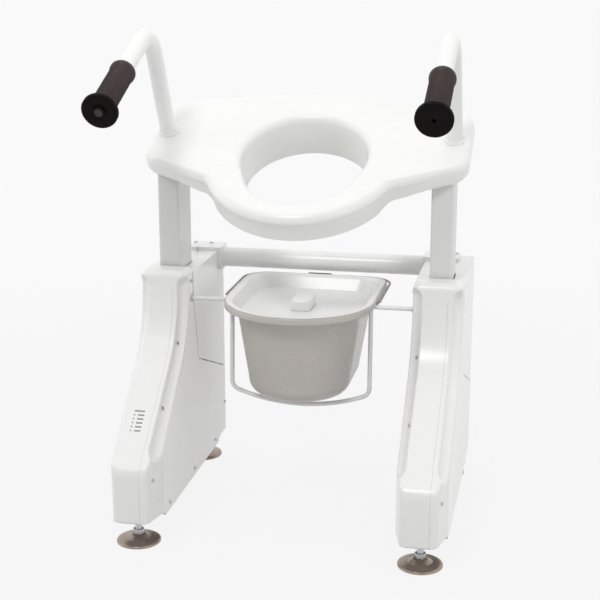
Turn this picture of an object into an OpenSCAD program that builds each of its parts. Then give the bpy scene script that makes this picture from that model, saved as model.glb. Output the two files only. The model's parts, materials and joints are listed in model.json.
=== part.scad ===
// Powered raised toilet seat: the seat stands on two lifting posts between two
// towers, rises and tilts forward, over a pail hung in a wire cradle.
// Millimetres, +Z up, feet on Z = 0, front towards -Y, shown raised and tilted.

/* [Stance] */
// Distance of each tower's middle from the centre plane
tower_x = 249; // [238:0.5:262]
// Distance of the feet in front of and behind the base's middle
foot_y = 212; // [200:1:216]
// Foot pad diameter
pad_d = 78; // [64:1:86]
// Foot stud diameter
stud_d = 12; // [10:0.5:14]

/* [Tower covers] */
// Tower width
tower_w = 89; // [84:0.5:94]
// Width across the toe's front
toe_w = 67.5; // [62:0.5:74]
// Moulding wall thickness
cover_wall = 3; // [2:0.25:4]
// Reach of the toe in front of the base's middle
toe_front = 261; // [254:1:270]
// Reach of the upright neck in front of the base's middle
neck_front = 34; // [28:1:40]
// Rear face of the tower behind the base's middle
tower_rear = 240; // [236:1:250]
// Slope of the instep
slope_angle = 40; // [36:1:44]
// Height at which the instep would meet the toe's front
toe_h = 148; // [138:1:158]
// Rounding of the toe
toe_r = 28; // [20:1:36]
// Hollow rounding between instep and neck
ankle_r = 160; // [120:5:180]
// Height of the neck's top
neck_top = 447; // [443:1:449]
// Height of the rear casing's top
casing_top = 437; // [434:1:439]
// Height of the skirt above the floor
skirt_z = 42; // [38:1:46]
// Radius of the coves along the front edges
cove_r = 17; // [13:0.5:19]
// Open gap between the neck and the rear casing
casing_gap = 3; // [2:0.25:4]

/* [Lift] */
// Post width
post_w = 39; // [36:0.5:42]
// Post depth
post_d = 81; // [78:0.5:84]
// Post wall thickness
post_wall = 3; // [2.5:0.25:3.5]
// Front face of the posts behind the base's middle
post_front = 14; // [13.5:0.25:15]
// Seat hinge behind the base's middle
pivot_y = 30; // [29.5:0.25:31]
// Seat hinge height when raised
pivot_z = 613; // [606:1:620]
// Lift travel
lift_stroke = 165; // [150:1:165]
// Forward tilt of the raised seat
seat_tilt = 27; // [20:0.5:28]
// Hinge pin diameter
hinge_d = 10; // [8:0.5:11]
// Distance of the tilt pin behind the hinge
tilt_arm = 40; // [38:0.5:41]
// Lift rod diameter
rod_d = 18; // [16:0.5:19]

/* [Cross bar] */
// Cross bar diameter
bar_d = 38; // [34:0.5:40]
// Cross bar behind the base's middle
bar_y = 214; // [211:0.5:216]
// Cross bar height
bar_z = 420; // [417:0.5:421]

/* [Seat] */
// Seat width across the wings
seat_w = 586; // [576:2:600]
// Top of the seat above its hinge
seat_top = 46.3; // [45:0.1:48]
// Width of the rear part of the opening
opening_w = 227; // [215:1:236]
// Width of the front part of the opening
opening_front_w = 196; // [184:1:204]
// Depth of the splash guard below the seat's top
guard_h = 85; // [76:1:86]
// Depth of the front skirt
seat_skirt = 55; // [48:1:58]
// Thickness at the wings
wing_t = 24; // [23:0.25:26]
// Rounding of the seat's outer edge
seat_edge = 15; // [10:0.5:18]

/* [Arm rests] */
// Distance of the arm tubes from the centre plane
arm_x = 262; // [258:0.5:266]
// Arm tube diameter
arm_d = 30; // [27:0.5:32]
// Arm tube behind the hinge, along the seat
arm_v = 68.5; // [66:0.5:72]
// Height of the arm's corner above the seat
arm_h = 218; // [205:1:235]
// Reach of the arm from its corner to the grip's end
arm_reach = 292.7; // [280:0.5:305]
// Bend radius of the arm
arm_r = 60; // [50:1:70]
// Rise of the arm's front part over the seat plane
arm_rise = 4; // [0:0.5:8]
// Grip diameter
grip_d = 40; // [37:0.5:44]
// Grip flange diameter
flange_d = 60; // [52:1:64]
// Grip length
grip_l = 133; // [120:1:145]
// Push button diameter
button_d = 14; // [11:0.5:16]
// Push button travel
button_stroke = 2; // [1:0.25:3]

/* [Pail] */
// Half width of the pail's lip
lip_w = 137; // [134:0.5:138]
// Rear edge of the lip behind the base's middle
lip_rear = 183; // [180:0.5:184]
// Height of the lip's top
lip_z = 400.5; // [399:0.5:402]
// Half width of the pail's foot
pail_foot_w = 89; // [82:1:93]
// Wall thickness of the pail
pail_wall = 2.5; // [2:0.25:3]
// Depth of the lid below the lip
lid_drop = 22; // [18:0.5:26]
// Bail wire diameter
bail_d = 4; // [3:0.25:4.25]
// Cradle wire diameter
wire_d = 8; // [6.5:0.25:8]

/* [Hidden] */
$fn = 96;
fit = 0.08;
slip = 0.3;
rest_gap = 0.1;
lip_t = 6;
toe_c = 16;
top_r = 14;
foot_clear = skirt_z + 10;
seam_rear = 185;
seam_slope = 0.385;
neck_rear = post_front - 4;
neck_low = 389;
casing_front = neck_rear + casing_gap;
turn = 90 - slope_angle;
uphill = [cos(slope_angle), sin(slope_angle)];
ankle_p = [-neck_front, toe_h + (toe_front - neck_front) * tan(slope_angle)];
ankle_tan = ankle_r * tan(turn / 2);
cove_bend = ankle_p.y + ankle_tan;
cove_high = neck_top - 27;
cove_flare = 13;
neck_c = 14;
cove_start = [-toe_front, toe_h] + uphill * 50;
post_y = post_front + post_d / 2;
post_top = pivot_z + 8;
post_low = pivot_z - 333;
bush_t = 2.5;
sleeve_wall = 3;
sleeve_w = post_w + 2 * (bush_t + slip);
sleeve_d = post_d + 2 * (bush_t + slip);
sleeve_top = casing_top - cover_wall - 6;
plate_z = 56;
plate_t = 6;
deck = plate_z + plate_t;
pad_rim = 5;
pad_h = 14;
rod_y = post_front + post_wall + 20;
rod_tube_d = rod_d + 10;
gear_h = 24;
gear_top = deck + gear_h;
rod_tube_top = pivot_z - lift_stroke - 53;
bridge_z = pivot_z - 38;
bridge_t = 8;
tilt_y = pivot_y + tilt_arm;
tilt_rod_d = 12;
tilt_case_d = 24;
tilt_pin_d = 12;
tilt_lift = tilt_arm * tan(seat_tilt);
tilt_pin_z = pivot_z + tilt_lift;
lug_t = 12;
lug_r = 11;
fork_t = 6;
slot_play = 1;
bracket_t = 4;
bracket_top = seat_top - wing_t + 2;
bracket_low = bracket_top - bracket_t;
motor_d = 46;
motor_y = post_front + post_d + bush_t + sleeve_wall + motor_d / 2 + 8;
wire_y = neck_rear - wire_d / 2 - 4;
wire_z = lip_z - lip_t - wire_d / 2 - rest_gap;
loop_x = lip_w - 9;
loop_lean = 3;
loop_r = 18;
bow_r = 340;
loop_low = 188.6;
rail_d = wire_d - 1;
loop_bend = 6;
bead = 0.5;
rail_x = loop_x + loop_bend + 1.5;
rail_r = 36;
rail_rear = lip_rear - 6;
pail_c = lip_w - 143;
collar_t = 6;
collar_h = 11;
pail_w = loop_x - wire_d / 2 - collar_t - 3;
pail_low = 229;
pail_r = 26;
lid_z = lip_z - lid_drop;
lid_t = 4;
lid_gap = 1;
bail_z = lip_z - lip_t / 2;
bail_y = 10;
bail_gap = 3.2;
bail_x = lip_w + bail_gap + bail_d / 2;
grip_start = arm_reach - grip_l;
arm_wall = 2;
flange_c = 2;
arm_out = [-cos(arm_rise), sin(arm_rise)];
front_end = pivot_y + (arm_v - arm_reach * cos(arm_rise)) * cos(seat_tilt)
  - (seat_top + arm_h + arm_reach * sin(arm_rise)) * sin(seat_tilt)
  - (flange_d / 2 - flange_c) * sin(seat_tilt - arm_rise);
rear_end = foot_y + pad_d / 2;
mid_y = (front_end + rear_end) / 2;

white = [0.95, 0.95, 0.94];
shade = [0.86, 0.86, 0.85];
steel = [0.62, 0.63, 0.65];
dark = [0.20, 0.18, 0.17];
bronze = [0.34, 0.28, 0.25];
pail_grey = [0.62, 0.60, 0.58];
lid_grey = [0.84, 0.85, 0.85];

function seam(y) = seam_rear + (tower_rear - y) * seam_slope;
function arc(c, r, a0, a1, n) =
  [for (i = [0:n]) c + r * [cos(a0 + (a1 - a0) * i / n), sin(a0 + (a1 - a0) * i / n)]];
function unit(p) = p / norm(p);

// Places a part about the middle of the whole object
module placed() {
  translate([0, -mid_y, 0])
    children();
}

// Places a part drawn about a tower's middle plane, +X pointing outwards
module tower(side) {
  placed()
    mirror([side < 0 ? 1 : 0, 0, 0])
      translate([tower_x, 0, 0])
        children();
}

// Places a part drawn on the level seat, hinge at the origin
module seated() {
  placed()
    translate([0, pivot_y, pivot_z])
      rotate([seat_tilt, 0, 0])
        children();
}

module mirrored_seat(side) {
  seated()
    mirror([side < 0 ? 1 : 0, 0, 0])
      children();
}

// Extrudes a side view across the tower
module across(w) {
  rotate([90, 0, 90])
    linear_extrude(height = w, center = true)
      children();
}

module upright(h) {
  linear_extrude(height = h)
    children();
}

// Corner left over outside a rounding, between two tangent points and their vertex
module corner(vertex, before, after, centre, r) {
  difference() {
    polygon([before, vertex, after]);
    translate(centre)
      circle(r);
  }
}

module rounded_box(w, d, r) {
  difference() {
    square([w, d], center = true);
    for (sx = [-1, 1], sy = [-1, 1])
      corner([sx * w / 2, sy * d / 2], [sx * (w / 2 - r), sy * d / 2], [sx * w / 2, sy * (d / 2 - r)],
        [sx * (w / 2 - r), sy * (d / 2 - r)], r);
  }
}

// Side view of a tower's front: toe, instep and neck, drawn in by e
module front_profile(e) {
  slope_drop = e / cos(slope_angle);
  toe = [-toe_front + e, toe_h + e * tan(slope_angle) - slope_drop];
  ankle = [-neck_front + e, toe_h + (toe_front - neck_front + e) * tan(slope_angle) - slope_drop];
  rt = toe_r - e;
  ra = ankle_r + e;
  toe_t = rt * tan(turn / 2);
  ankle_t = ra * tan(turn / 2);
  top = neck_top - e;
  difference() {
    polygon([
      [toe.x, skirt_z - 2], toe, ankle - uphill * ankle_t, ankle + [0, ankle_t], [ankle.x, top],
      [tower_rear - e, top], [tower_rear - e, skirt_z - 2]
    ]);
    translate([ankle.x - ra, ankle.y + ankle_t])
      circle(ra);
    corner(toe, toe - [0, toe_t], toe + uphill * toe_t, [toe.x + rt, toe.y - toe_t], rt);
    corner([ankle.x, top], [ankle.x, top - top_r + e], [ankle.x + top_r - e, top],
      [ankle.x + top_r - e, top - top_r + e], top_r - e);
  }
}

// Top view of a tower, drawn in by e
module plan(e) {
  w = tower_w / 2 - e;
  t = toe_w / 2 - e;
  r = toe_c - e;
  front = -toe_front + e;
  rear = tower_rear - e;
  rear_r = 10 - e;
  difference() {
    polygon(concat(
      arc([t - r, front + r], r, -90, 0, 4), [[w, front + r + 45], [w, rear], [-w, rear], [-w, front + r + 45]],
      arc([r - t, front + r], r, 180, 270, 4)
    ));
    for (s = [-1, 1])
      corner([s * w, rear], [s * (w - rear_r), rear], [s * w, rear - rear_r], [s * (w - rear_r), rear - rear_r],
        rear_r);
  }
}

// Side view of the lower moulding and neck, below the seam
module cover_zone() {
  polygon([
    [-toe_front - 1, foot_clear], [-toe_front - 1, neck_top + 1], [neck_rear, neck_top + 1],
    [neck_rear, neck_low], [post_front + 26, seam(post_front + 26)], [tower_rear + 1, seam(tower_rear + 1)],
    [tower_rear + 1, foot_clear], [foot_y - 27, foot_clear], [foot_y - 35, skirt_z],
    [20 - foot_y, skirt_z], [12 - foot_y, foot_clear]
  ]);
}

// Side view of the rear casing, above the seam
module casing_zone() {
  polygon([
    [casing_front, casing_top], [casing_front, neck_low], [post_front + 27, seam(post_front + 27) + 1],
    [tower_rear + 1, seam(tower_rear + 1) + 1], [tower_rear + 1, casing_top]
  ]);
}

// Stations down a front edge: place, heading, radius and outset, a ball at each end, wider towards the toe
function cove_path(r, n) = concat(
  [for (b = [20, 45, 70]) [cove_start - uphill * (r + cove_flare) * cos(b), slope_angle, (r + cove_flare) * sin(b),
    cove_flare]],
  [[cove_start, slope_angle, r + cove_flare, cove_flare]],
  [for (k = [0:n], a = [turn * (k / n - 1)])
    [[ankle_r * (cos(a) - 1) - neck_front, cove_bend + ankle_r * sin(a)], 90 + a, r, 0]],
  [[[-neck_front, cove_high], 90, r, 0]],
  [for (b = [70, 45, 20]) [[-neck_front, cove_high + r * cos(b)], 90, r * sin(b), 0]]
);
function cove_ring(s, m) = [for (j = [0:m - 1], a = [360 * (j + 0.5) / m])
  [s[3] + s[2] * cos(a), s[0].x - s[2] * sin(a) * sin(s[1]), s[0].y + s[2] * sin(a) * cos(s[1])]];

// Round cutter that runs down both front edges
module coves(r, n, m) {
  path = cove_path(r, n);
  last = len(path) - 1;
  corners = [for (s = path, p = cove_ring(s, m)) p];
  skins = [for (i = [0:last - 1], j = [0:m - 1], k = [0, 1]) k == 0 ?
    [i * m + j, i * m + (j + 1) % m, (i + 1) * m + j] :
    [i * m + (j + 1) % m, (i + 1) * m + (j + 1) % m, (i + 1) * m + j]];
  ends = [[for (j = [m - 1:-1:0]) j], [for (j = [0:m - 1]) last * m + j]];
  for (s = [0, 1])
    mirror([s, 0, 0])
      translate([tower_w / 2, 0, 0])
        polyhedron(corners, concat(skins, ends));
}

// Rounds the neck's upright front corners above the coves, drawn in by e
module neck_corners(e) {
  w = tower_w / 2 - e;
  y = e - neck_front;
  r = neck_c - e;
  for (s = [0, 1])
    mirror([s, 0, 0])
      translate([0, 0, cove_high - 6])
        upright(neck_top - cove_high + 12)
          polygon(concat([[w + 1, y - 1], [w - r, y - 1]], arc([w - r, y + r], r, -90, 0, 4), [[w + 1, y + r]]));
}

// Places a cover screw on the inner flank
module on_flank(y, z) {
  translate([-tower_w / 2, y, z])
    rotate([0, -90, 0])
      children();
}

module flank_screws() {
  for (p = [[-167, 57], [-3, 57], [150, 57], [226, 112], [-2, 423]])
    on_flank(p.x, p.y)
      children();
}

module tower_shell() {
  difference() {
    intersection() {
      across(tower_w)
        front_profile(0);
      upright(neck_top + 5)
        plan(0);
    }
    coves(cove_r, 10, 24);
    neck_corners(0);
  }
}

module tower_hollow() {
  difference() {
    intersection() {
      across(tower_w - 2 * cover_wall)
        front_profile(cover_wall);
      upright(neck_top + 5)
        plan(cover_wall);
    }
    coves(cove_r + cover_wall, 4, 12);
    neck_corners(cover_wall);
  }
}

module front_cover(side) {
  color(white)
    tower(side)
      difference() {
        intersection() {
          tower_shell();
          across(tower_w + 2)
            cover_zone();
        }
        tower_hollow();
        flank_screws()
          translate([0, 0, -cover_wall - 1])
            cylinder(d = 4.4, h = cover_wall + 2);
        translate([-tower_w / 2 - 1, wire_y, wire_z])
          rotate([0, 90, 0])
            cylinder(d = wire_d + 2, h = cover_wall + 2);
      }
}

module rear_casing(side) {
  color(white)
    tower(side)
      difference() {
        intersection() {
          across(tower_w)
            casing_zone();
          upright(neck_top + 5)
            plan(0);
        }
        intersection() {
          translate([0, 0, casing_top - cover_wall - 400])
            upright(400)
              plan(cover_wall);
          translate([-tower_w, post_front - 60, 0])
            cube([2 * tower_w, tower_rear + 60, neck_top]);
        }
        translate([0, post_y, casing_top - 10])
          upright(20)
            rounded_box(post_w + 4, post_d + 4, 6);
        translate([-tower_w / 2 - 1, bar_y, bar_z])
          rotate([0, 90, 0])
            cylinder(d = bar_d + 1, h = tower_w / 2 + 2);
        translate([-tower_w / 2 - 1, bar_y - bar_d / 2 - 0.5, bar_z])
          cube([tower_w / 2 + 2, bar_d + 1, casing_top]);
      }
}

module left_front_cover() {
  front_cover(-1);
}

module right_front_cover() {
  front_cover(1);
}

module left_rear_casing() {
  rear_casing(-1);
}

module right_rear_casing() {
  rear_casing(1);
}

// Deck plate, guide sleeve and rear upright, welded together
module base_frame(side) {
  color(steel)
    tower(side)
      difference() {
        union() {
          translate([0, -3, plate_z])
            upright(plate_t)
              rounded_box(toe_w - 2 * cover_wall - 4, 2 * foot_y + 46, 12);
          translate([0, post_y, deck])
            upright(sleeve_top - deck)
              rounded_box(sleeve_w + 2 * sleeve_wall, sleeve_d + 2 * sleeve_wall, 7);
          translate([-tower_w / 2 + cover_wall + 6, bar_y - 13, deck])
            cube([22, 24, bar_z - deck - 4]);
          for (s = [-1, 1])
            translate([s * 16, post_front - bush_t - sleeve_wall - 40, deck])
              across(4)
                polygon([[0, 0], [42, 0], [42, 90]]);
        }
        translate([0, post_y, deck - 0.01])
          upright(sleeve_top)
            rounded_box(sleeve_w, sleeve_d, 5);
        translate([-19, post_y, deck - 0.01])
          cube([38, sleeve_d, gear_h + 4]);
        for (y = [-foot_y, foot_y])
          translate([0, y, plate_z - 1])
            cylinder(d = stud_d + 2 * fit, h = plate_t + 2);
        translate([-tower_w, bar_y, bar_z])
          rotate([0, 90, 0])
            cylinder(d = bar_d + 0.2, h = 2 * tower_w);
      }
}

module left_base_frame() {
  base_frame(-1);
}

module right_base_frame() {
  base_frame(1);
}

// Nylon collars in the sleeve that the post runs in
module glide_bushes(side) {
  color(dark)
    tower(side)
      for (z = [sleeve_top - 30, post_low + 22])
        translate([0, post_y, z])
          upright(30)
            difference() {
              rounded_box(sleeve_w - 0.1, sleeve_d - 0.1, 4.95);
              rounded_box(post_w + 2 * slip, post_d + 2 * slip, 4 + slip);
            }
}

module left_glide_bushes() {
  glide_bushes(-1);
}

module right_glide_bushes() {
  glide_bushes(1);
}

// Gear case and outer tube of the lift actuator, standing inside the post
module lift_actuator(side) {
  color(steel)
    tower(side) {
      difference() {
        union() {
          translate([-17, rod_y - 17, deck])
            cube([34, motor_y + 22 - rod_y + 17, gear_h]);
          translate([0, rod_y, gear_top])
            cylinder(d = rod_tube_d, h = rod_tube_top - gear_top);
        }
        translate([0, rod_y, gear_top + 4])
          cylinder(d = rod_d + 2 * slip, h = rod_tube_top);
      }
    }
}

module left_lift_actuator() {
  lift_actuator(-1);
}

module right_lift_actuator() {
  lift_actuator(1);
}

module lift_motor(side) {
  color(dark)
    tower(side)
      translate([0, motor_y, gear_top]) {
        cylinder(d = motor_d, h = 92);
        translate([0, 0, 92])
          cylinder(d = motor_d - 12, h = 8);
      }
}

module left_lift_motor() {
  lift_motor(-1);
}

module right_lift_motor() {
  lift_motor(1);
}

module bar_hole(gap) {
  translate([-tower_w / 2 - 20, bar_y, bar_z])
    rotate([0, 90, 0])
      cylinder(d = bar_d + 2 * gap, h = tower_w);
}

// Saddle over the bar's end: plate on the casing and cheek against its inner face
module bar_saddle(side) {
  front = bar_y - bar_d / 2 - 7;
  color(white)
    tower(side)
      difference() {
        union() {
          translate([-tower_w / 2 - 6, front, casing_top])
            cube([tower_w - 20, tower_rear - 2 - front, 6]);
          translate([-tower_w / 2 - 3, 0, 0])
            across(6)
              difference() {
                translate([front, bar_z - bar_d / 2 - 5])
                  square([tower_rear - 2 - front, casing_top + 6 - bar_z + bar_d / 2 + 5]);
                corner([front, bar_z - bar_d / 2 - 5], [front, bar_z - 4], [bar_y, bar_z - bar_d / 2 - 5],
                  [bar_y, bar_z], bar_d / 2 + 7);
              }
        }
        bar_hole(0.05);
        for (p = [[-22, 7], [10, 7], [-6, -18]])
          translate([p.x, bar_y + p.y * 1.9, casing_top - 1])
            cylinder(d = 4.4, h = 10);
      }
}

module left_bar_saddle() {
  bar_saddle(-1);
}

module right_bar_saddle() {
  bar_saddle(1);
}

module cross_bar() {
  color(white)
    placed()
      translate([0, bar_y, bar_z])
        rotate([0, 90, 0])
          linear_extrude(height = 2 * tower_x - 30, center = true)
            difference() {
              circle(d = bar_d);
              circle(d = bar_d - 4);
            }
}

// Pan head with its shank, head standing on Z = 0
module screw(head, shank, length) {
  cylinder(d = head, h = 1.2);
  translate([0, 0, 1.2])
    cylinder(d1 = head, d2 = head - 2.4, h = 1.2);
  translate([0, 0, -length])
    cylinder(d = shank, h = length);
}

module saddle_screws() {
  color(steel)
    for (side = [-1, 1])
      tower(side)
        for (p = [[-22, 7], [10, 7], [-6, -18]])
          translate([p.x, bar_y + p.y * 1.9, casing_top + 6])
            screw(8, 4.2, 6);
}

module cover_screws() {
  color(steel)
    for (side = [-1, 1])
      tower(side)
        flank_screws()
          screw(7.5, 4.2, 4);
}

module control_box() {
  color(shade)
    tower(1)
      translate([0, -125, deck]) {
        upright(58)
          rounded_box(52, 120, 6);
        translate([0, -40, 58])
          upright(4)
            rounded_box(36, 20, 3);
      }
}

module battery_pack() {
  color(dark)
    tower(-1)
      translate([0, -125, deck]) {
        upright(64)
          rounded_box(52, 130, 4);
        translate([0, 45, 64])
          upright(5)
            rounded_box(30, 24, 3);
      }
}

module bent_wire(r, a, d) {
  rotate_extrude(angle = a)
    translate([r, 0])
      circle(d = d);
}

module rod_across(x0, x1, y, z, d) {
  translate([x0, y, z])
    rotate([0, 90, 0])
      cylinder(d = d, h = x1 - x0);
}

module rod_along(x, y0, y1, z, d) {
  translate([x, y0, z])
    rotate([-90, 0, 0])
      cylinder(d = d, h = y1 - y0);
}

// Leaning front loop drawn flat: arms, uprights and bow under the pail
module loop_flat() {
  low = bow_r - loop_low;
  bow_a = asin((loop_x - loop_r) / (bow_r - loop_r));
  knee_z = low - (bow_r - loop_r) * cos(bow_a);
  for (s = [0, 1])
    mirror([s, 0, 0]) {
      rod_across(loop_x + loop_bend, tower_x - 18, 0, 0, wire_d);
      translate([loop_x + loop_bend, 0, -loop_bend])
        rotate([90, 0, 0])
          rotate([0, 0, 90])
            bent_wire(loop_bend, 90, wire_d);
      translate([loop_x, 0, knee_z])
        cylinder(d = wire_d, h = -loop_bend - knee_z);
      translate([loop_x - loop_r, 0, knee_z]) {
        rotate([90, 0, 0])
          rotate([0, 0, bow_a - 90])
            bent_wire(loop_r, 90 - bow_a, wire_d);
        translate([loop_r, 0, -2])
          cylinder(d = wire_d + bead, h = 4);
        rotate([0, 90 - bow_a, 0])
          translate([loop_r, 0, -2])
            cylinder(d = wire_d + bead, h = 4);
      }
    }
  translate([0, 0, low])
    rotate([90, 0, 0])
      rotate([0, 0, -90 - bow_a])
        bent_wire(bow_r, 2 * bow_a, wire_d);
}

module wire_cradle() {
  color(white)
    placed() {
      translate([0, wire_y, wire_z])
        rotate([-loop_lean, 0, 0])
          loop_flat();
      for (s = [0, 1])
        mirror([s, 0, 0]) {
          rod_along(rail_x, wire_y, rail_rear - rail_r, wire_z, rail_d);
          translate([rail_x - rail_r, rail_rear - rail_r, wire_z])
            bent_wire(rail_r, 90, rail_d);
        }
      rod_across(rail_r - rail_x, rail_x - rail_r, rail_rear, wire_z, rail_d);
    }
}

module wire_grommets() {
  color(shade)
    for (side = [-1, 1])
      tower(side)
        translate([-tower_w / 2 - 2, wire_y, wire_z])
          rotate([0, 90, 0])
            difference() {
              union() {
                cylinder(d = wire_d + 6, h = 2);
                cylinder(d = wire_d + 1.8, h = 2 + cover_wall);
              }
              translate([0, 0, -1])
                cylinder(d = wire_d + 0.1, h = 10);
            }
}

module at_feet() {
  for (side = [-1, 1], y = [-foot_y, foot_y])
    tower(side)
      translate([0, y, 0])
        children();
}

module foot_nuts() {
  color(steel)
    at_feet()
      translate([0, 0, plate_z - 9])
        difference() {
          cylinder(d = 22, h = 9, $fn = 6);
          translate([0, 0, -1])
            cylinder(d = stud_d + 2 * fit, h = 12);
        }
}

// Pad: thin rim under a shallow dome, with a socket for the stud
module foot_pad(side, y) {
  rise = pad_h - pad_rim;
  dome = (pow(pad_d / 2, 2) + pow(rise, 2)) / (2 * rise);
  color(bronze)
    tower(side)
      translate([0, y, 0])
        rotate_extrude()
          difference() {
            union() {
              square([pad_d / 2, pad_rim]);
              intersection() {
                translate([0, pad_h - dome])
                  circle(dome);
                square([pad_d / 2, pad_h]);
              }
            }
            translate([0, 4])
              square([stud_d / 2 + 0.05, pad_h]);
          }
}

module foot_stud(side, y) {
  color(steel)
    tower(side)
      translate([0, y, 4]) {
        cylinder(d = stud_d, h = deck + 18);
        translate([0, 0, pad_h - 4 + 0.2])
          cylinder(d = 20, h = 9, $fn = 6);
      }
}

module front_left_pad() {
  foot_pad(-1, -foot_y);
}

module front_right_pad() {
  foot_pad(1, -foot_y);
}

module rear_left_pad() {
  foot_pad(-1, foot_y);
}

module rear_right_pad() {
  foot_pad(1, foot_y);
}

module front_left_stud() {
  foot_stud(-1, -foot_y);
}

module front_right_stud() {
  foot_stud(1, -foot_y);
}

module rear_left_stud() {
  foot_stud(-1, foot_y);
}

module rear_right_stud() {
  foot_stud(1, foot_y);
}

// Rectangular post with a bridge plate that the actuators bear on
module post(side) {
  color(shade)
    tower(side)
      difference() {
        union() {
          translate([0, post_y, post_low])
            upright(post_top - post_low)
              difference() {
                rounded_box(post_w, post_d, 4);
                rounded_box(post_w - 2 * post_wall, post_d - 2 * post_wall, 1.5);
              }
          translate([0, post_y, bridge_z])
            upright(bridge_t)
              rounded_box(post_w - 2 * post_wall + 0.4, post_d - 2 * post_wall + 0.4, 1.5);
        }
        translate([0, rod_y, bridge_z - 1])
          cylinder(d = 10.1, h = bridge_t + 2);
        translate([0, tilt_y, bridge_z - 1])
          cylinder(d = tilt_rod_d + 4, h = bridge_t + 2);
        translate([-lug_t / 2 - 0.6, post_front - 1, pivot_z - 2])
          cube([lug_t + 1.2, post_wall + 2, 20]);
        translate([-post_w, pivot_y, pivot_z])
          rotate([0, 90, 0])
            cylinder(d = hinge_d + 0.04, h = 2 * post_w);
      }
}

module left_post() {
  post(-1);
}

module right_post() {
  post(1);
}

module lift_rod(side) {
  low = rod_tube_top - 70;
  color(steel)
    tower(side)
      translate([0, rod_y, low]) {
        cylinder(d = rod_d, h = bridge_z - low);
        translate([0, 0, bridge_z - low])
          cylinder(d = 10, h = bridge_t + 11);
      }
}

module left_lift_rod() {
  lift_rod(-1);
}

module right_lift_rod() {
  lift_rod(1);
}

module rod_nuts() {
  color(steel)
    for (side = [-1, 1])
      tower(side)
        translate([0, rod_y, bridge_z + bridge_t])
          difference() {
            cylinder(d = 18, h = 8, $fn = 6);
            translate([0, 0, -1])
              cylinder(d = 10.1, h = 10);
          }
}

// Tilt actuator case, hung under the bridge beside the lift rod
module tilt_actuator(side) {
  low = bridge_z - 135;
  color(dark)
    tower(side)
      translate([0, tilt_y, low])
        difference() {
          union() {
            cylinder(d = tilt_case_d, h = bridge_z - low);
            translate([-14, -9, 0])
              cube([28, 18, 50]);
          }
          translate([0, 0, 30])
            cylinder(d = tilt_rod_d + 2 * slip, h = bridge_z);
        }
}

module left_tilt_actuator() {
  tilt_actuator(-1);
}

module right_tilt_actuator() {
  tilt_actuator(1);
}

module hinge_pins() {
  color(steel)
    for (side = [-1, 1])
      tower(side)
        translate([-post_w / 2, pivot_y, pivot_z])
          rotate([0, 90, 0])
            cylinder(d = hinge_d, h = post_w);
}

// Tilt rod with a fork that straddles the seat's lug
module tilt_rod(side) {
  fork_w = lug_t + 1.2 + 2 * fork_t;
  low = tilt_pin_z - 130;
  color(steel)
    tower(side)
      translate([0, tilt_y, 0])
        difference() {
          union() {
            translate([0, 0, low])
              cylinder(d = tilt_rod_d, h = tilt_pin_z - 20 - low);
            translate([-fork_w / 2, -9, tilt_pin_z - 24])
              cube([fork_w, 18, 24]);
            translate([0, 0, tilt_pin_z])
              across(fork_w)
                circle(9);
          }
          translate([-lug_t / 2 - 0.6, -20, tilt_pin_z - 20.5])
            cube([lug_t + 1.2, 40, 60]);
          translate([-fork_w, 0, tilt_pin_z])
            rotate([0, 90, 0])
              cylinder(d = tilt_pin_d + 0.04, h = 2 * fork_w);
        }
}

module left_tilt_rod() {
  tilt_rod(-1);
}

module right_tilt_rod() {
  tilt_rod(1);
}

module tilt_pins() {
  fork_w = lug_t + 1.2 + 2 * fork_t;
  color(steel)
    for (side = [-1, 1])
      tower(side)
        translate([-fork_w / 2, tilt_y, tilt_pin_z])
          rotate([0, 90, 0])
            cylinder(d = tilt_pin_d, h = fork_w);
}

// Seat outline, right half from front to rear, about the arm tubes' line
front_c = [0, -65];
front_r = 175;
wing_p = [165, -131];
wing_a = 23.7;
wing_dir = [cos(wing_a), sin(wing_a)];
wing_out = [sin(wing_a), -cos(wing_a)];
hip_r = 30;
hip_q = wing_p + hip_r * wing_out - front_c;
hip_s = -hip_q * wing_dir + sqrt(pow(hip_q * wing_dir, 2) - hip_q * hip_q + pow(front_r + hip_r, 2));
hip_c = front_c + hip_q + hip_s * wing_dir;
hip_a = atan2(hip_c.y - front_c.y, hip_c.x - front_c.x);
tip_r = 40;
tip_vertex = wing_p + wing_dir * (seat_w / 2 - wing_p.x) / wing_dir.x;
tip_t = tip_r * tan((90 - wing_a) / 2);
heel_r = 49;
back_r = 902;
back_c = [0, 139 - back_r];
heel_x = seat_w / 2 - heel_r;
heel_c = [heel_x, back_c.y + sqrt(pow(back_r - heel_r, 2) - pow(heel_x, 2))];
heel_a = atan2(heel_c.y - back_c.y, heel_c.x);
half = concat(
  arc(front_c, front_r, -90, hip_a, 13),
  arc(hip_c, hip_r, hip_a + 180, wing_a + 90, 4),
  [for (k = [1:3]) wing_p + wing_dir * (8 + (tip_vertex.x - wing_p.x) / wing_dir.x * k / 5.2)],
  arc([seat_w / 2 - tip_r, tip_vertex.y + tip_t], tip_r, wing_a - 90, 0, 5),
  [[seat_w / 2, 5]],
  arc(heel_c, heel_r, 0, heel_a, 5),
  [for (k = [1:7]) back_c + back_r * [cos(heel_a + (90 - heel_a) * k / 7), sin(heel_a + (90 - heel_a) * k / 7)]]
);
count = len(half);
outline = concat(half, [for (i = [count - 2:-1:1]) [-half[i].x, half[i].y]]);
sides = len(outline);

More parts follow.
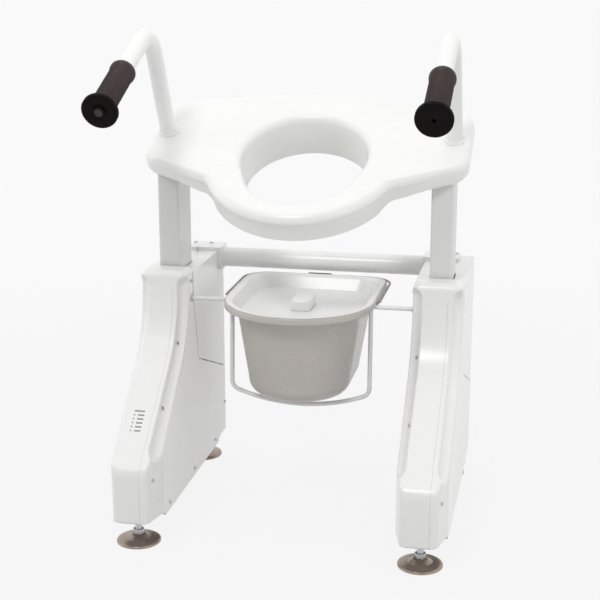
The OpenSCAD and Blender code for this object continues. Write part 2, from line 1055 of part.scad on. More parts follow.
// Opening: two circles and the lines tangent to both, met by rays from its middle
eye = [0, -72];
rear_c = [0, -51];
open_c = [0, -94];
tan_y = (opening_front_w - opening_w) / 2 / (rear_c.y - open_c.y);
tan_n = [sqrt(1 - tan_y * tan_y), tan_y];
rear_touch = rear_c + opening_w / 2 * tan_n - eye;
open_touch = open_c + opening_front_w / 2 * tan_n - eye;
function ray_circle(d, c, r) = (c - eye) * d + sqrt(pow((c - eye) * d, 2) - (c - eye) * (c - eye) + r * r);
function ray_open(d) =
  atan2(d.y, abs(d.x)) > atan2(rear_touch.y, rear_touch.x) ? ray_circle(d, rear_c, opening_w / 2) :
  atan2(d.y, abs(d.x)) < atan2(open_touch.y, open_touch.x) ? ray_circle(d, open_c, opening_front_w / 2) :
  (tan_n * rear_touch) / (tan_n * [abs(d.x), d.y]);
inner = [for (p = outline) eye + unit(p - eye) * ray_open(unit(p - eye))];
inward = [for (i = [0:sides - 1]) unit(inner[i] - outline[i])];
span = [for (i = [0:sides - 1]) norm(inner[i] - outline[i])];
function edge_depth(p) = p.y < -20 ?
  lookup(abs(p.x), [[150, seat_skirt], [172, 44], [198, 42], [232, wing_t]]) :
  lookup(abs(p.x), [[198, 36], [232, wing_t]]);
function skin(p) = lookup(abs(p.x), [[195, 8], [230, wing_t - 2]]);
guard_t = 5;
skirt_t = 6;
dish = 3;
mouth_r = 14;
function from_edge(t, z) = [for (i = [0:sides - 1]) concat(outline[i] + inward[i] * t, -z)];
function from_mouth(t, z) = [for (i = [0:sides - 1]) concat(inner[i] - inward[i] * t, -z)];
edge_steps = [0, 25, 50, 70, 90];
mouth_steps = [90, 65, 40, 15, 0];
rings = concat(
  [[for (i = [0:sides - 1]) concat(outline[i] + inward[i], -edge_depth(outline[i]))]],
  [for (a = edge_steps) from_edge(seat_edge * (1 - cos(a)), seat_edge * (1 - sin(a)))],
  [[for (i = [0:sides - 1]) concat(outline[i] + inward[i] * span[i] * 0.55, -dish * 0.3)]],
  [for (a = mouth_steps) from_mouth(mouth_r * (1 - cos(a)), dish + mouth_r * (1 - sin(a)))],
  [from_mouth(0, guard_h), from_mouth(guard_t, guard_h), from_mouth(guard_t, 8)],
  [[for (i = [0:sides - 1]) concat(outline[i] + inward[i] * span[i] * 0.5, -skin(outline[i]))]],
  [[for (i = [0:sides - 1]) concat(outline[i] + inward[i] * skirt_t, -skin(outline[i]))]],
  [[for (i = [0:sides - 1]) concat(outline[i] + inward[i] * skirt_t, -edge_depth(outline[i]))]]
);
layers = len(rings);
points = [for (r = rings, p = r) p];
function at(l, i) = (l % layers) * sides + i % sides;
faces = [for (l = [0:layers - 1], i = [0:sides - 1], k = [0, 1])
  k == 0 ? [at(l, i), at(l, i + 1), at(l + 1, i)] : [at(l, i + 1), at(l + 1, i + 1), at(l + 1, i)]];
bracket_holes = [[-20, 4], [12, 4], [-20, 84], [-24, 44]];

module seat() {
  color(white)
    seated()
      difference() {
        translate([0, arm_v, seat_top])
          polyhedron(points, faces);
        for (s = [-1, 1]) {
          translate([s * arm_x, arm_v, -30])
            cylinder(d = arm_d + 0.2, h = 120);
          translate([s * (tower_x + 3) - 33, -18, bracket_top - 40])
            cube([66, 114, 40]);
          for (p = bracket_holes)
            translate([s * (tower_x + p.x), p.y, bracket_top - 1])
              cylinder(d = 4.4, h = 13);
        }
      }
}

// Plate under the wing with the lug that hangs into the post
module seat_bracket(side) {
  slot_end = tilt_arm / cos(seat_tilt);
  slot_r = tilt_pin_d / 2 + slot_play;
  color(steel)
    mirrored_seat(side)
      difference() {
        union() {
          translate([tower_x - 29, -16, bracket_low])
            cube([62, 110, bracket_t]);
          translate([tower_x, 0, 0])
            across(lug_t)
              union() {
                circle(lug_r);
                translate([-lug_r, 0])
                  square([lug_r + slot_end + slot_r + 5, bracket_low + 0.5]);
                translate([0, -13])
                  square([slot_end + slot_r + 5, 14]);
              }
          translate([arm_x, arm_v, bracket_low - 3])
            cylinder(d = arm_d + 8, h = 3.5);
        }
        translate([tower_x - lug_t, 0, 0])
          rotate([0, 90, 0])
            cylinder(d = hinge_d + 2 * fit, h = 2 * lug_t);
        translate([tower_x, 0, 0])
          across(2 * lug_t)
            union() {
              translate([tilt_arm - 1, -slot_r])
                square([slot_end - tilt_arm + 2, 2 * slot_r]);
              translate([tilt_arm - 1, 0])
                circle(slot_r);
              translate([slot_end + 1, 0])
                circle(slot_r);
            }
        translate([arm_x, arm_v, bracket_low - 10])
          cylinder(d = arm_d + 0.1, h = 20);
        for (p = bracket_holes)
          translate([tower_x + p.x, p.y, bracket_low - 1])
            cylinder(d = 4.4, h = bracket_t + 2);
      }
}

module left_seat_bracket() {
  seat_bracket(-1);
}

module right_seat_bracket() {
  seat_bracket(1);
}

module seat_screws() {
  color(steel)
    for (side = [-1, 1])
      mirrored_seat(side)
        for (p = bracket_holes)
          translate([tower_x + p.x, p.y, bracket_low])
            rotate([180, 0, 0])
              screw(9, 4.2, bracket_t + 11);
}

// Places a part on the arm's front section, f from the corner, Z along the arm
module on_arm(f) {
  translate([arm_x, arm_v + f * arm_out.x, seat_top + arm_h + f * arm_out.y])
    rotate([90 - arm_rise, 0, 0])
      children();
}

// Bent bar, bored from both ends up to the bend, with a weld bead where the bend begins and ends
module arm_tube(side) {
  bend_a = 90 - arm_rise;
  reach = arm_r * tan(bend_a / 2);
  start = bracket_low - 3;
  bend_z = seat_top + arm_h - reach;
  bore = arm_d - 2 * arm_wall;
  color(white)
    mirrored_seat(side)
      difference() {
        union() {
          translate([arm_x, arm_v, start])
            cylinder(d = arm_d, h = bend_z - start);
          translate([arm_x, arm_v - arm_r, bend_z])
            rotate([90, 0, 90])
              bent_wire(arm_r, bend_a, arm_d);
          on_arm(reach)
            cylinder(d = arm_d, h = arm_reach - 14 - reach);
          translate([arm_x, arm_v, bend_z - 3])
            cylinder(d = arm_d + bead, h = 6);
          on_arm(reach - 3)
            cylinder(d = arm_d + bead, h = 6);
        }
        translate([arm_x, arm_v, start - 1])
          cylinder(d = bore, h = bend_z - start - 4);
        on_arm(reach + 5)
          cylinder(d = bore, h = arm_reach);
      }
}

module left_arm_tube() {
  arm_tube(-1);
}

module right_arm_tube() {
  arm_tube(1);
}

module arm_collar(side) {
  color(white)
    mirrored_seat(side)
      translate([arm_x, arm_v, seat_top])
        rotate_extrude()
          polygon([
            [arm_d / 2 + 0.05, 0], [arm_d / 2 + 4, 0], [arm_d / 2 + 4, 2], [arm_d / 2 + 2, 5], [arm_d / 2 + 0.05, 5]
          ]);
}

module left_arm_collar() {
  arm_collar(-1);
}

module right_arm_collar() {
  arm_collar(1);
}

// Ribbed sleeve with a collar at the hand's rear and a flange at its end
module grip(side, hole) {
  ribs = 22;
  r = grip_d / 2;
  z0 = 9;
  z1 = grip_l - 16;
  pitch = (z1 - z0) / ribs;
  color(dark)
    mirrored_seat(side)
      on_arm(grip_start)
        rotate_extrude()
          difference() {
            polygon(concat(
              [[0, 0], [r + 1, 0], [r + 2, 1.5], [r + 2, z0 - 2], [r - 0.7, z0]],
              [for (k = [0:ribs - 1], q = [[0, z0 + k * pitch + pitch * 0.35], [0, z0 + k * pitch + pitch * 0.75],
                [-0.7, z0 + (k + 1) * pitch]]) [r + q[0], q[1]]],
              [[r + 3, z1 + 3], [flange_d / 2 - 1, z1 + 6], [flange_d / 2, z1 + 7.5], [flange_d / 2, grip_l - flange_c],
                [flange_d / 2 - flange_c, grip_l], [0, grip_l]]
            ));
            translate([-1, -1])
              square([arm_d / 2 + 1.05, grip_l - 13 + 1]);
            translate([-1, 0])
              square([hole / 2 + 1, grip_l + 1]);
          }
}

module left_grip() {
  grip(-1, button_d + 4);
}

module right_grip() {
  grip(1, 7);
}

module button_bezel() {
  color(dark)
    mirrored_seat(-1)
      on_arm(arm_reach - 8)
        rotate_extrude()
          difference() {
            union() {
              square([button_d / 2 + 1.95, 8]);
              translate([0, 8])
                square([button_d / 2 + 4, 1.5]);
            }
            translate([-1, -1])
              square([button_d / 2 + slip + 1, 12]);
          }
}

module lift_button() {
  color(steel)
    mirrored_seat(-1)
      on_arm(arm_reach - 7)
        rotate_extrude()
          polygon([
            [0, 0], [button_d / 2, 0], [button_d / 2, 7.5 + button_stroke],
            [button_d / 2 - 1, 8.5 + button_stroke], [0, 8.5 + button_stroke]
          ]);
}

// Half-round front, flat rear: one ring of points at half width w
function d_ring(w, rear, r, z) = concat(
  [for (i = [0:26]) [w * cos(180 + 180 * i / 26), pail_c + w * sin(180 + 180 * i / 26), z]],
  [for (i = [0:6]) [w - r + r * cos(15 * i), rear - r + r * sin(15 * i), z]],
  [for (i = [0:6]) [r - w + r * cos(90 + 15 * i), rear - r + r * sin(90 + 15 * i), z]]
);

module d_shape(w, rear, r) {
  translate([0, pail_c])
    circle(w);
  difference() {
    translate([-w, pail_c])
      square([2 * w, rear - pail_c]);
    for (s = [0, 1])
      mirror([s, 0])
        translate([w - r, rear - r])
          difference() {
            square(r + 1);
            circle(r);
          }
  }
}

rear_in = lip_rear - lip_w + pail_w;
function wall_at(z) = pail_foot_w + (pail_w - pail_foot_w) * (z - pail_low) / (lip_z - lip_t - pail_low);
function rear_at(z) = rear_in - pail_w + wall_at(z) + 10 * (wall_at(z) - pail_w) / (pail_w - pail_foot_w);
function body_ring(e, z) = d_ring(wall_at(z) - e, rear_at(z) - e, 36 - e, z);
foot_z = pail_low + pail_r;
foot_w = wall_at(foot_z);
foot_rear = rear_at(foot_z);
function foot_ring(e, a) = d_ring(foot_w - e - (pail_r - e) * (1 - sin(a)), foot_rear - e - (pail_r - e) * (1 - sin(a)),
  36 - e - (pail_r - e) * (1 - sin(a)), foot_z - (pail_r - e) * cos(a));
pail_rings = [
  foot_ring(0, 0), foot_ring(0, 30), foot_ring(0, 60), body_ring(0, foot_z),
  body_ring(0, lip_z - lip_t - collar_h), body_ring(-collar_t, lip_z - lip_t - collar_h + 0.5),
  body_ring(-collar_t, lip_z - lip_t),
  d_ring(lip_w - 1, lip_rear - 1, 40, lip_z - lip_t),
  d_ring(lip_w, lip_rear, 40, lip_z - lip_t + 1),
  d_ring(lip_w, lip_rear, 40, lip_z - 1.5),
  d_ring(lip_w - 1.5, lip_rear - 1.5, 39, lip_z),
  body_ring(pail_wall - 1, lip_z),
  body_ring(pail_wall, lip_z - 2),
  body_ring(pail_wall, lid_z - lid_t),
  body_ring(pail_wall + 4, lid_z - lid_t),
  body_ring(pail_wall, lid_z - lid_t - 7),
  body_ring(pail_wall, foot_z), foot_ring(pail_wall, 60), foot_ring(pail_wall, 30), foot_ring(pail_wall, 0)
];
ring_n = len(pail_rings[0]);
pail_points = concat(
  [[0, pail_c, pail_low]], [for (r = pail_rings, p = r) p], [[0, pail_c, pail_low + pail_wall]]);
pail_top = len(pail_rings) * ring_n + 1;
function pat(l, i) = 1 + l * ring_n + i % ring_n;
pail_faces = concat(
  [for (i = [0:ring_n - 1]) [0, pat(0, i), pat(0, i + 1)]],
  [for (l = [0:len(pail_rings) - 2], i = [0:ring_n - 1], k = [0, 1])
    k == 0 ? [pat(l, i), pat(l + 1, i), pat(l, i + 1)] : [pat(l, i + 1), pat(l + 1, i), pat(l + 1, i + 1)]],
  [for (i = [0:ring_n - 1]) [pail_top, pat(len(pail_rings) - 1, i + 1), pat(len(pail_rings) - 1, i)]]
);

module pail() {
  color(pail_grey)
    placed()
      difference() {
        polyhedron(pail_points, pail_faces);
        for (s = [-1, 1])
          translate([s * lip_w, bail_y, bail_z])
            rotate([0, 90, 0])
              cylinder(d = bail_d + 2 * fit, h = 20, center = true);
      }
}

module pail_lid() {
  w = wall_at(lid_z - lid_t) - pail_wall - lid_gap;
  rear = rear_at(lid_z - lid_t) - pail_wall - lid_gap;
  color(lid_grey)
    placed()
      translate([0, 0, lid_z - lid_t + rest_gap]) {
        upright(lid_t)
          d_shape(w, rear, 34);
        translate([0, 22, lid_t])
          difference() {
            upright(18)
              rounded_box(34, 64, 8);
            for (s = [-1, 1])
              translate([s * 21, 0, 6])
                rotate([90, 0, 0])
                  cylinder(r = 8, h = 80, center = true);
          }
      }
}

module bail_wire() {
  r = 40 + bail_gap + bail_d / 2;
  rear = lip_rear + bail_gap + bail_d / 2;
  tuck = 4;
  color(dark)
    placed() {
      for (s = [0, 1])
        mirror([s, 0, 0]) {
          rod_across(lip_w - 7, bail_x - tuck, bail_y, bail_z, bail_d);
          translate([bail_x - tuck, bail_y + tuck, bail_z])
            rotate([0, 0, -90])
              bent_wire(tuck, 90, bail_d);
          rod_along(bail_x, bail_y + tuck, rear - r, bail_z, bail_d);
          translate([bail_x - r, rear - r, bail_z])
            bent_wire(r, 90, bail_d);
        }
      rod_across(r - bail_x, bail_x - r, rear, bail_z, bail_d);
    }
}

module bail_grip() {
  color(bronze)
    placed()
      translate([0, lip_rear + bail_gap + bail_d / 2, bail_z])
        rotate([0, 90, 0])
          linear_extrude(height = 45, center = true)
            difference() {
              circle(d = bail_d + 5);
              circle(d = bail_d + 0.1);
            }
}

left_front_cover();
right_front_cover();
left_rear_casing();
right_rear_casing();
left_base_frame();
right_base_frame();
left_glide_bushes();
right_glide_bushes();
left_lift_actuator();
right_lift_actuator();
left_lift_motor();
right_lift_motor();
left_bar_saddle();
right_bar_saddle();
cross_bar();
saddle_screws();
cover_screws();
control_box();
battery_pack();
wire_cradle();
wire_grommets();
foot_nuts();
front_left_pad();
front_right_pad();
rear_left_pad();
rear_right_pad();
front_left_stud();
front_right_stud();
rear_left_stud();
rear_right_stud();
left_post();
right_post();
left_lift_rod();
right_lift_rod();
rod_nuts();
left_tilt_actuator();
right_tilt_actuator();
hinge_pins();
left_tilt_rod();
right_tilt_rod();
tilt_pins();
seat();
left_seat_bracket();
right_seat_bracket();
seat_screws();
left_arm_tube();
right_arm_tube();
left_arm_collar();
right_arm_collar();
left_grip();
right_grip();
button_bezel();
lift_button();
pail();
pail_lid();
bail_wire();
bail_grip();
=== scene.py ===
import json
import math

import bmesh
import bpy
import numpy as np
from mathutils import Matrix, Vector


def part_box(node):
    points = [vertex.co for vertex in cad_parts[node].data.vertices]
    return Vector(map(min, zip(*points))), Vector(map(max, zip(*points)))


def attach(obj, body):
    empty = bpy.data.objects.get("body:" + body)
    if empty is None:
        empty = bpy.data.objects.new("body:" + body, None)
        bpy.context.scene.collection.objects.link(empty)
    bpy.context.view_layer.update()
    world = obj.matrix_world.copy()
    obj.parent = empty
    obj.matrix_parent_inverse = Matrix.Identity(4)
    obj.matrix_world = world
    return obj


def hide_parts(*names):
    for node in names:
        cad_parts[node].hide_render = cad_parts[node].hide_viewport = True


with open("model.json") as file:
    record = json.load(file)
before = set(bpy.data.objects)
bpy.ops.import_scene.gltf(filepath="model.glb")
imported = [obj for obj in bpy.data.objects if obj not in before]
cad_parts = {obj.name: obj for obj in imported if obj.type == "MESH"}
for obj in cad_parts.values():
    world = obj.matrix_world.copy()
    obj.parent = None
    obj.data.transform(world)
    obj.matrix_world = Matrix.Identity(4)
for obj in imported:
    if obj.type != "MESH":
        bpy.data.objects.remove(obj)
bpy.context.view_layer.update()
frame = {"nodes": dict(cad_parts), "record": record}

bodies = frame["record"]["behaviour"]["bodies"]
bodyOf = {node: body for body, members in bodies.items() for node in members}
feet = ("front_left", "front_right", "rear_left", "rear_right")
mm = 0.001
postFront = 14  # from the base's middle back to the posts' front face, mm
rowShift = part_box("left_post")[0].y / mm - postFront  # from the base's middle to the object's middle, mm
scene = bpy.context.scene
print("frame loaded:", len(frame["nodes"]), "nodes, row shift", round(rowShift, 2), "mm")


# node tree helpers

class Wire:  # one socket of a node tree, usable in plain arithmetic
    def __init__(self, shade, socket):
        self.shade = shade
        self.socket = socket

    def __add__(self, other):
        return self.shade.math("ADD", self, other)

    def __radd__(self, other):
        return self.shade.math("ADD", other, self)

    def __sub__(self, other):
        return self.shade.math("SUBTRACT", self, other)

    def __rsub__(self, other):
        return self.shade.math("SUBTRACT", other, self)

    def __mul__(self, other):
        return self.shade.math("MULTIPLY", self, other)

    def __rmul__(self, other):
        return self.shade.math("MULTIPLY", other, self)


class Shade:  # builds one node tree: a material's, the world's or a group for pieces
    def __init__(self, owner):
        self.tree = owner
        if not isinstance(owner, bpy.types.NodeTree):
            owner.use_nodes = True
            self.tree = owner.node_tree
        self.tree.nodes.clear()

    def add(self, kind, settings=None, values=None, output=0):
        node = self.tree.nodes.new(kind)
        for key, value in (settings or {}).items():
            setattr(node, key, value)
        for key, value in (values or {}).items():
            if isinstance(value, Wire):
                self.tree.links.new(value.socket, node.inputs[key])
            else:
                node.inputs[key].default_value = value
        return Wire(self, node.outputs[output]) if node.outputs else node

    def math(self, operation, *values):
        return self.add("ShaderNodeMath", {"operation": operation}, dict(enumerate(values)))

    def near(self, value, middle, half):
        return self.math("COMPARE", value, middle, half)

    def axis(self, place, index):
        return self.add("ShaderNodeSeparateXYZ", values={0: place}, output=index)

    def span(self, value, low, high, first, last):
        return self.add("ShaderNodeMapRange", values={0: value, 1: low, 2: high, 3: first, 4: last})

    def noise(self, place, scale, detail, rough=0.5):
        values = {"Vector": place, "Scale": scale, "Detail": detail, "Roughness": rough}
        return self.add("ShaderNodeTexNoise", values=values)

    def rays(self, *kinds):  # 1 for rays of these kinds
        return sum(self.add("ShaderNodeLightPath", output="Is %s Ray" % kind) for kind in kinds)

    def mixColour(self, amount, first, second):
        return self.add("ShaderNodeMix", {"data_type": "RGBA"}, {0: amount, 6: first, 7: second}, 2)

    def mixSurface(self, amount, first, second):
        return self.add("ShaderNodeMixShader", values={0: amount, 1: first, 2: second})


def linear(tone):  # from screen values, 0 to 255
    shares = [c / 255 for c in tone]
    return tuple(c / 12.92 if c <= 0.04045 else ((c + 0.055) / 1.055) ** 2.4 for c in shares) + (1.0,)


def scaled(colour, factor):
    return tuple(min(1.0, c * factor) for c in colour[:3]) + (1.0,)


def tickMask(shade, place, ticks):  # plain rows of a dot and a bar under one longer bar
    x, z = shade.axis(place, 0), shade.axis(place, 2)
    low, row = ticks["low"], ticks["row"]
    span = row * ticks["rows"]
    line = shade.near(shade.math("FRACT", (z - low) * (1 / row)), 0.5, ticks["share"])
    beside = shade.near(x, *ticks["dot"]) + shade.near(x, *ticks["bar"])
    rows = shade.near(z, low + span / 2, span / 2) * beside
    head = shade.near(z, low + span + row / 2, row / 2) * shade.near(x, *ticks["head"])
    return line * (rows + head)


# A moulded, coated or turned surface: broad tone, fine grain, and on some a mottled darkening towards the
# floor
finishBase = dict(
    cloud=7.0, cloudDetail=(3.0, 0.55), grainDetail=(2.0, 0.6), stretch=(1, 1, 1), tint=0.02, roughSpread=0.08,
    roughGrain=0.06, depth=0.0004, metal=0.0, coat=0.0, coatRough=0.18, ior=1.47, fleckDetail=1.0,
    fleckBand=(0.56, 0.66), lowDarkening=0, lowDarkeningBand=(0.04, 0.3), lowDarkeningTone=(150, 142, 132), lineHalf=0.0004,
    lineTop=0.42, lineAmount=0.4, lineTone=(150, 150, 150), tickAmount=0.7, tickTone=(64, 64, 66))


def makeFinish(name, own):
    spec = {**finishBase, **own}
    material = bpy.data.materials.new(name)
    shade = Shade(material)
    place = shade.add("ShaderNodeTexCoord", output="Object")
    grainPlace = shade.add("ShaderNodeMapping", values={"Vector": place, "Scale": spec["stretch"]})
    cloud = shade.noise(place, spec["cloud"], *spec["cloudDetail"])
    grain = shade.noise(grainPlace, spec["grain"], *spec["grainDetail"])
    colour, tint = linear(spec["colour"]), spec["tint"]
    tone = shade.mixColour(cloud, scaled(colour, 1 - tint), scaled(colour, 1 + tint))
    if "fleck" in spec:
        speck = shade.noise(place, spec["fleckScale"], spec["fleckDetail"])
        picked = shade.span(speck, *spec["fleckBand"], 0.0, 1.0)
        tone = shade.mixColour(picked * spec["fleckAmount"], tone, linear(spec["fleck"]))
    # mottled darkening towards a grey-brown tone, strongest near the floor and gone by 0.3 m up
    if spec["lowDarkening"]:
        low = shade.span(shade.axis(place, 2), *spec["lowDarkeningBand"], spec["lowDarkening"], 0.0)
        tone = shade.mixColour(low * cloud, tone, linear(spec["lowDarkeningTone"]))
    if "line" in spec:
        near = shade.near(shade.axis(place, 0), spec["line"], spec["lineHalf"])
        under = shade.math("LESS_THAN", shade.axis(place, 2), spec["lineTop"])
        tone = shade.mixColour(near * under * spec["lineAmount"], tone, linear(spec["lineTone"]))
    if "ticks" in spec:
        marks = tickMask(shade, place, spec["ticks"])
        tone = shade.mixColour(marks * spec["tickAmount"], tone, linear(spec["tickTone"]))
    rough = spec["rough"] + (cloud - 0.5) * spec["roughSpread"] + (grain - 0.5) * spec["roughGrain"]
    bump = shade.add("ShaderNodeBump", values={
        "Strength": spec["bump"], "Distance": spec["depth"], "Height": grain})
    surface = shade.add("ShaderNodeBsdfPrincipled", values={
        "Base Color": tone, "Roughness": rough, "Normal": bump, "Metallic": spec["metal"],
        "Coat Weight": spec["coat"], "Coat Roughness": spec["coatRough"], "IOR": spec["ior"]})
    shade.add("ShaderNodeOutputMaterial", values={"Surface": surface})
    return material


finishSpecs = {
    "towerMoulding": dict(colour=(240, 240, 238), rough=0.26, grain=900, bump=0.06, lowDarkening=0.10, tint=0.012,
                          coat=0.3),
    "seatMoulding": dict(colour=(244, 244, 242), rough=0.27, grain=700, bump=0.06, tint=0.010, coat=0.12),
    "powderWhite": dict(colour=(243, 243, 242), rough=0.27, grain=1100, bump=0.04, tint=0.012, coat=0.1),
    "postCoat": dict(colour=(223, 223, 221), rough=0.34, grain=900, stretch=(1, 1, 0.06), bump=0.10),
    "dippedWire": dict(colour=(238, 238, 238), rough=0.24, grain=500, bump=0.04, coat=0.2),
    "gripRubber": dict(colour=(62, 52, 49), rough=0.46, ior=1.38, grain=1500, bump=0.3, tint=0.12,
                       fleck=(84, 74, 70), fleckScale=2600, fleckAmount=0.25),
    "gripEnd": dict(colour=(13, 8, 8), rough=0.5, ior=1.18, grain=1500, bump=0.2, tint=0.12),
    "footPad": dict(colour=(166, 150, 139), rough=0.28, metal=0.6, grain=1200, bump=0.2, tint=0.08, lowDarkening=0.15),
    "pailMoulding": dict(colour=(190, 185, 180), rough=0.27, grain=800, stretch=(1, 1, 0.25), bump=0.12,
                         tint=0.03, coat=0.08),
    "lidMoulding": dict(colour=(235, 235, 233), rough=0.26, grain=800, bump=0.10, coat=0.1),
    "bailCoat": dict(colour=(150, 143, 138), rough=0.36, grain=1600, bump=0.15, tint=0.06),
    "bailSleeve": dict(colour=(92, 82, 78), rough=0.5, grain=1400, bump=0.2, tint=0.06),
    "platedSteel": dict(colour=(196, 197, 199), rough=0.3, metal=1.0, grain=1300, bump=0.15, tint=0.05),
    "turnedSteel": dict(colour=(186, 187, 190), rough=0.26, metal=1.0, grain=900, stretch=(1, 1, 12), bump=0.2,
                        tint=0.05),
    "primedSteel": dict(colour=(150, 152, 155), rough=0.5, grain=1000, bump=0.2, tint=0.06),
    "motorEnamel": dict(colour=(44, 44, 45), rough=0.35, grain=1100, bump=0.12, tint=0.1, coat=0.15),
    "glideNylon": dict(colour=(42, 42, 42), rough=0.48, grain=1300, bump=0.15, tint=0.1),
    "boxMoulding": dict(colour=(182, 182, 181), rough=0.45, grain=900, bump=0.2, tint=0.03),
    "batteryMoulding": dict(colour=(52, 52, 54), rough=0.45, grain=900, bump=0.2, tint=0.06),
    "grommetRubber": dict(colour=(205, 205, 203), rough=0.5, grain=1200, bump=0.15, tint=0.03),
    "buttonMoulding": dict(colour=(34, 28, 27), rough=0.36, grain=900, bump=0.08, tint=0.04, coat=0.05),
}
finishSpecs["towerLined"] = dict(finishSpecs["towerMoulding"], line=0.268)
finishSpecs["towerTicked"] = dict(finishSpecs["towerMoulding"], line=-0.230, ticks=dict(
    low=0.1977, row=0.0051, rows=5, share=0.2, dot=(-0.2625, 0.0013), bar=(-0.2505, 0.0058),
    head=(-0.2545, 0.0095)))
finishes = {name: makeFinish(name, spec) for name, spec in finishSpecs.items()}
print("finishes made:", len(finishes))


# mesh helpers

def addObject(name, data):
    item = bpy.data.objects.new(name, data)
    scene.collection.objects.link(item)
    return item


def makePiece(name, points, loops):  # points in mm
    mesh = bpy.data.meshes.new(name)
    mesh.from_pydata([Vector(p) * mm for p in points], [], loops)
    mesh.validate()
    return addObject(name, mesh)


def discard(piece):
    mesh = piece.data
    bpy.data.objects.remove(piece)
    bpy.data.meshes.remove(mesh)


def outward(piece):  # faces out, after doubles are merged
    form = bmesh.new()
    form.from_mesh(piece.data)
    bmesh.ops.remove_doubles(form, verts=form.verts, dist=1e-6)
    bmesh.ops.recalc_face_normals(form, faces=form.faces)
    form.to_mesh(piece.data)
    form.free()


def settle(piece):  # modifiers become plain mesh
    bpy.context.view_layer.update()
    evaluated = piece.evaluated_get(bpy.context.evaluated_depsgraph_get())
    plain = bpy.data.meshes.new_from_object(evaluated)
    piece.modifiers.clear()
    old = piece.data
    piece.data = plain
    bpy.data.meshes.remove(old)


def smooth(piece, degrees):
    mesh = piece.data
    mesh.polygons.foreach_set("use_smooth", [True] * len(mesh.polygons))
    mesh.set_sharp_from_angle(angle=math.radians(degrees))


def paint(piece, finish):
    piece.data.materials.clear()
    piece.data.materials.append(finishes[finish])


def seatPiece(piece, node, finish, stands=True):  # rides where a node rides, and stands for it or adds to it
    paint(piece, finish)
    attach(piece, bodyOf[node])
    if stands:
        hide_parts(node)


def softenEdges(piece, width, segments=2):
    bevelAngle, crease = 38, 40
    bevel = piece.modifiers.new("edge", "BEVEL")
    bevel.width = width
    bevel.segments = segments
    bevel.limit_method = "ANGLE"
    bevel.angle_limit = math.radians(bevelAngle)
    bevel.miter_outer = "MITER_ARC"
    settle(piece)
    weigh = piece.modifiers.new("normals", "WEIGHTED_NORMAL")
    weigh.keep_sharp = True
    smooth(piece, crease)
    settle(piece)


def clip(form, point, way):  # cut away what lies beyond a plane and close the cut
    geometry = form.verts[:] + form.edges[:] + form.faces[:]
    cut = bmesh.ops.bisect_plane(form, geom=geometry, plane_co=point, plane_no=way, clear_outer=True)
    bmesh.ops.edgenet_fill(form, edges=[e for e in cut["geom_cut"] if isinstance(e, bmesh.types.BMEdge)])


def dress(node, finish, edge, cuts=()):  # merged, smooth copy of a solid with eased edges
    mergeGap, flatAngle, crease = 2e-6, 0.3, 32
    piece = addObject(node + "Dressed", frame["nodes"][node].data.copy())
    form = bmesh.new()
    form.from_mesh(piece.data)
    bmesh.ops.remove_doubles(form, verts=form.verts, dist=mergeGap)
    bmesh.ops.dissolve_limit(form, angle_limit=math.radians(flatAngle), verts=form.verts, edges=form.edges)
    for point, way in cuts:
        clip(form, point, way)
    form.to_mesh(piece.data)
    form.free()
    smooth(piece, crease)
    if edge > 0:
        softenEdges(piece, edge)
    seatPiece(piece, node, finish)


def carve(piece, tool):
    cut = piece.modifiers.new("cut", "BOOLEAN")
    cut.operation = "DIFFERENCE"
    cut.solver = "EXACT"
    cut.object = tool
    settle(piece)
    discard(tool)


def turns(start, stop, count):  # angles from start to stop, in degrees, as radians
    return [math.radians(start + (stop - start) * k / count) for k in range(count + 1)]


def arcPoints(centre, radius, start, stop, count):
    x, y = centre
    return [(x + radius * math.cos(a), y + radius * math.sin(a)) for a in turns(start, stop, count)]


def circle(count):
    return [(math.cos(math.tau * k / count), math.sin(math.tau * k / count)) for k in range(count)]


def mirrored(half):  # half an outline, from the middle line to the middle line, made whole
    return half + [(-x, y) for x, y in half[-2:0:-1]]


def loft(name, rings, closed=True, move=None):  # the last ring joins the first, or both ends are capped
    count, layers = len(rings[0]), len(rings)
    points = [move(p) if move else p for ring in rings for p in ring]
    loops = []
    for layer in range(layers if closed else layers - 1):
        first, after = layer * count, (layer + 1) % layers * count
        for i in range(count):
            j = (i + 1) % count
            loops.append([first + i, first + j, after + j, after + i])
    if not closed:
        loops += [list(range(count))[::-1], list(range((layers - 1) * count, layers * count))]
    piece = makePiece(name, points, loops)
    outward(piece)
    return piece


def prism(name, outline, low, high):  # closed outline pushed upwards
    return loft(name, [[(x, y, z) for x, y in outline] for z in (low, high)], closed=False)


def turned(name, outline, count, place):  # lathe round an axis, closed outline as (radius, along)
    return loft(name, [[(r * c, r * s, z) for r, z in outline] for c, s in circle(count)], True, place)


def mapValue(x, table):
    return np.interp(x, *zip(*table))


# camera, floor and light, set first so that every look is the photograph's

viewSpec = {"place": (0.4646, -2.3087 + rowShift * mm, 1.0279), "azimuth": 11.417, "elevation": 14.997,
            "lens": 81.0, "sensor": 36.0, "far": 60}


def setCamera(spec):
    lens = bpy.data.cameras.new("view")
    lens.sensor_width = spec["sensor"]
    lens.lens = spec["lens"]
    lens.clip_end = spec["far"]
    camera = addObject("view", lens)
    camera.location = spec["place"]
    camera.rotation_euler = (math.radians(90 - spec["elevation"]), 0, math.radians(spec["azimuth"]))
    scene.camera = camera


setCamera(viewSpec)

studioSpec = {"background": (249, 249, 249), "ambient": 0.98, "ambientFront": 0.41, "frontBand": (0.1, 0.8),
              "floorSize": 40.0, "floorKeep": 0.93, "floorBand": (0.5, 2.2), "floorTone": 0.58,
              "lamps": [("topLamp", (-0.3, 0.1, 3.6), (0, 0, 0.3), 2.0, 5.0),
                        ("frontLamp", (-0.5, -2.3, 3.0), (0, 0, 0.4), 0.8, 29.0),
                        ("rightLamp", (2.2, -2.0, 0.8), (-0.1, 0, 0.3), 1.4, 9.0),
                        ("leftLamp", (-3.0, -0.4, 1.2), (0, 0, 0.4), 1.6, 8.0)]}


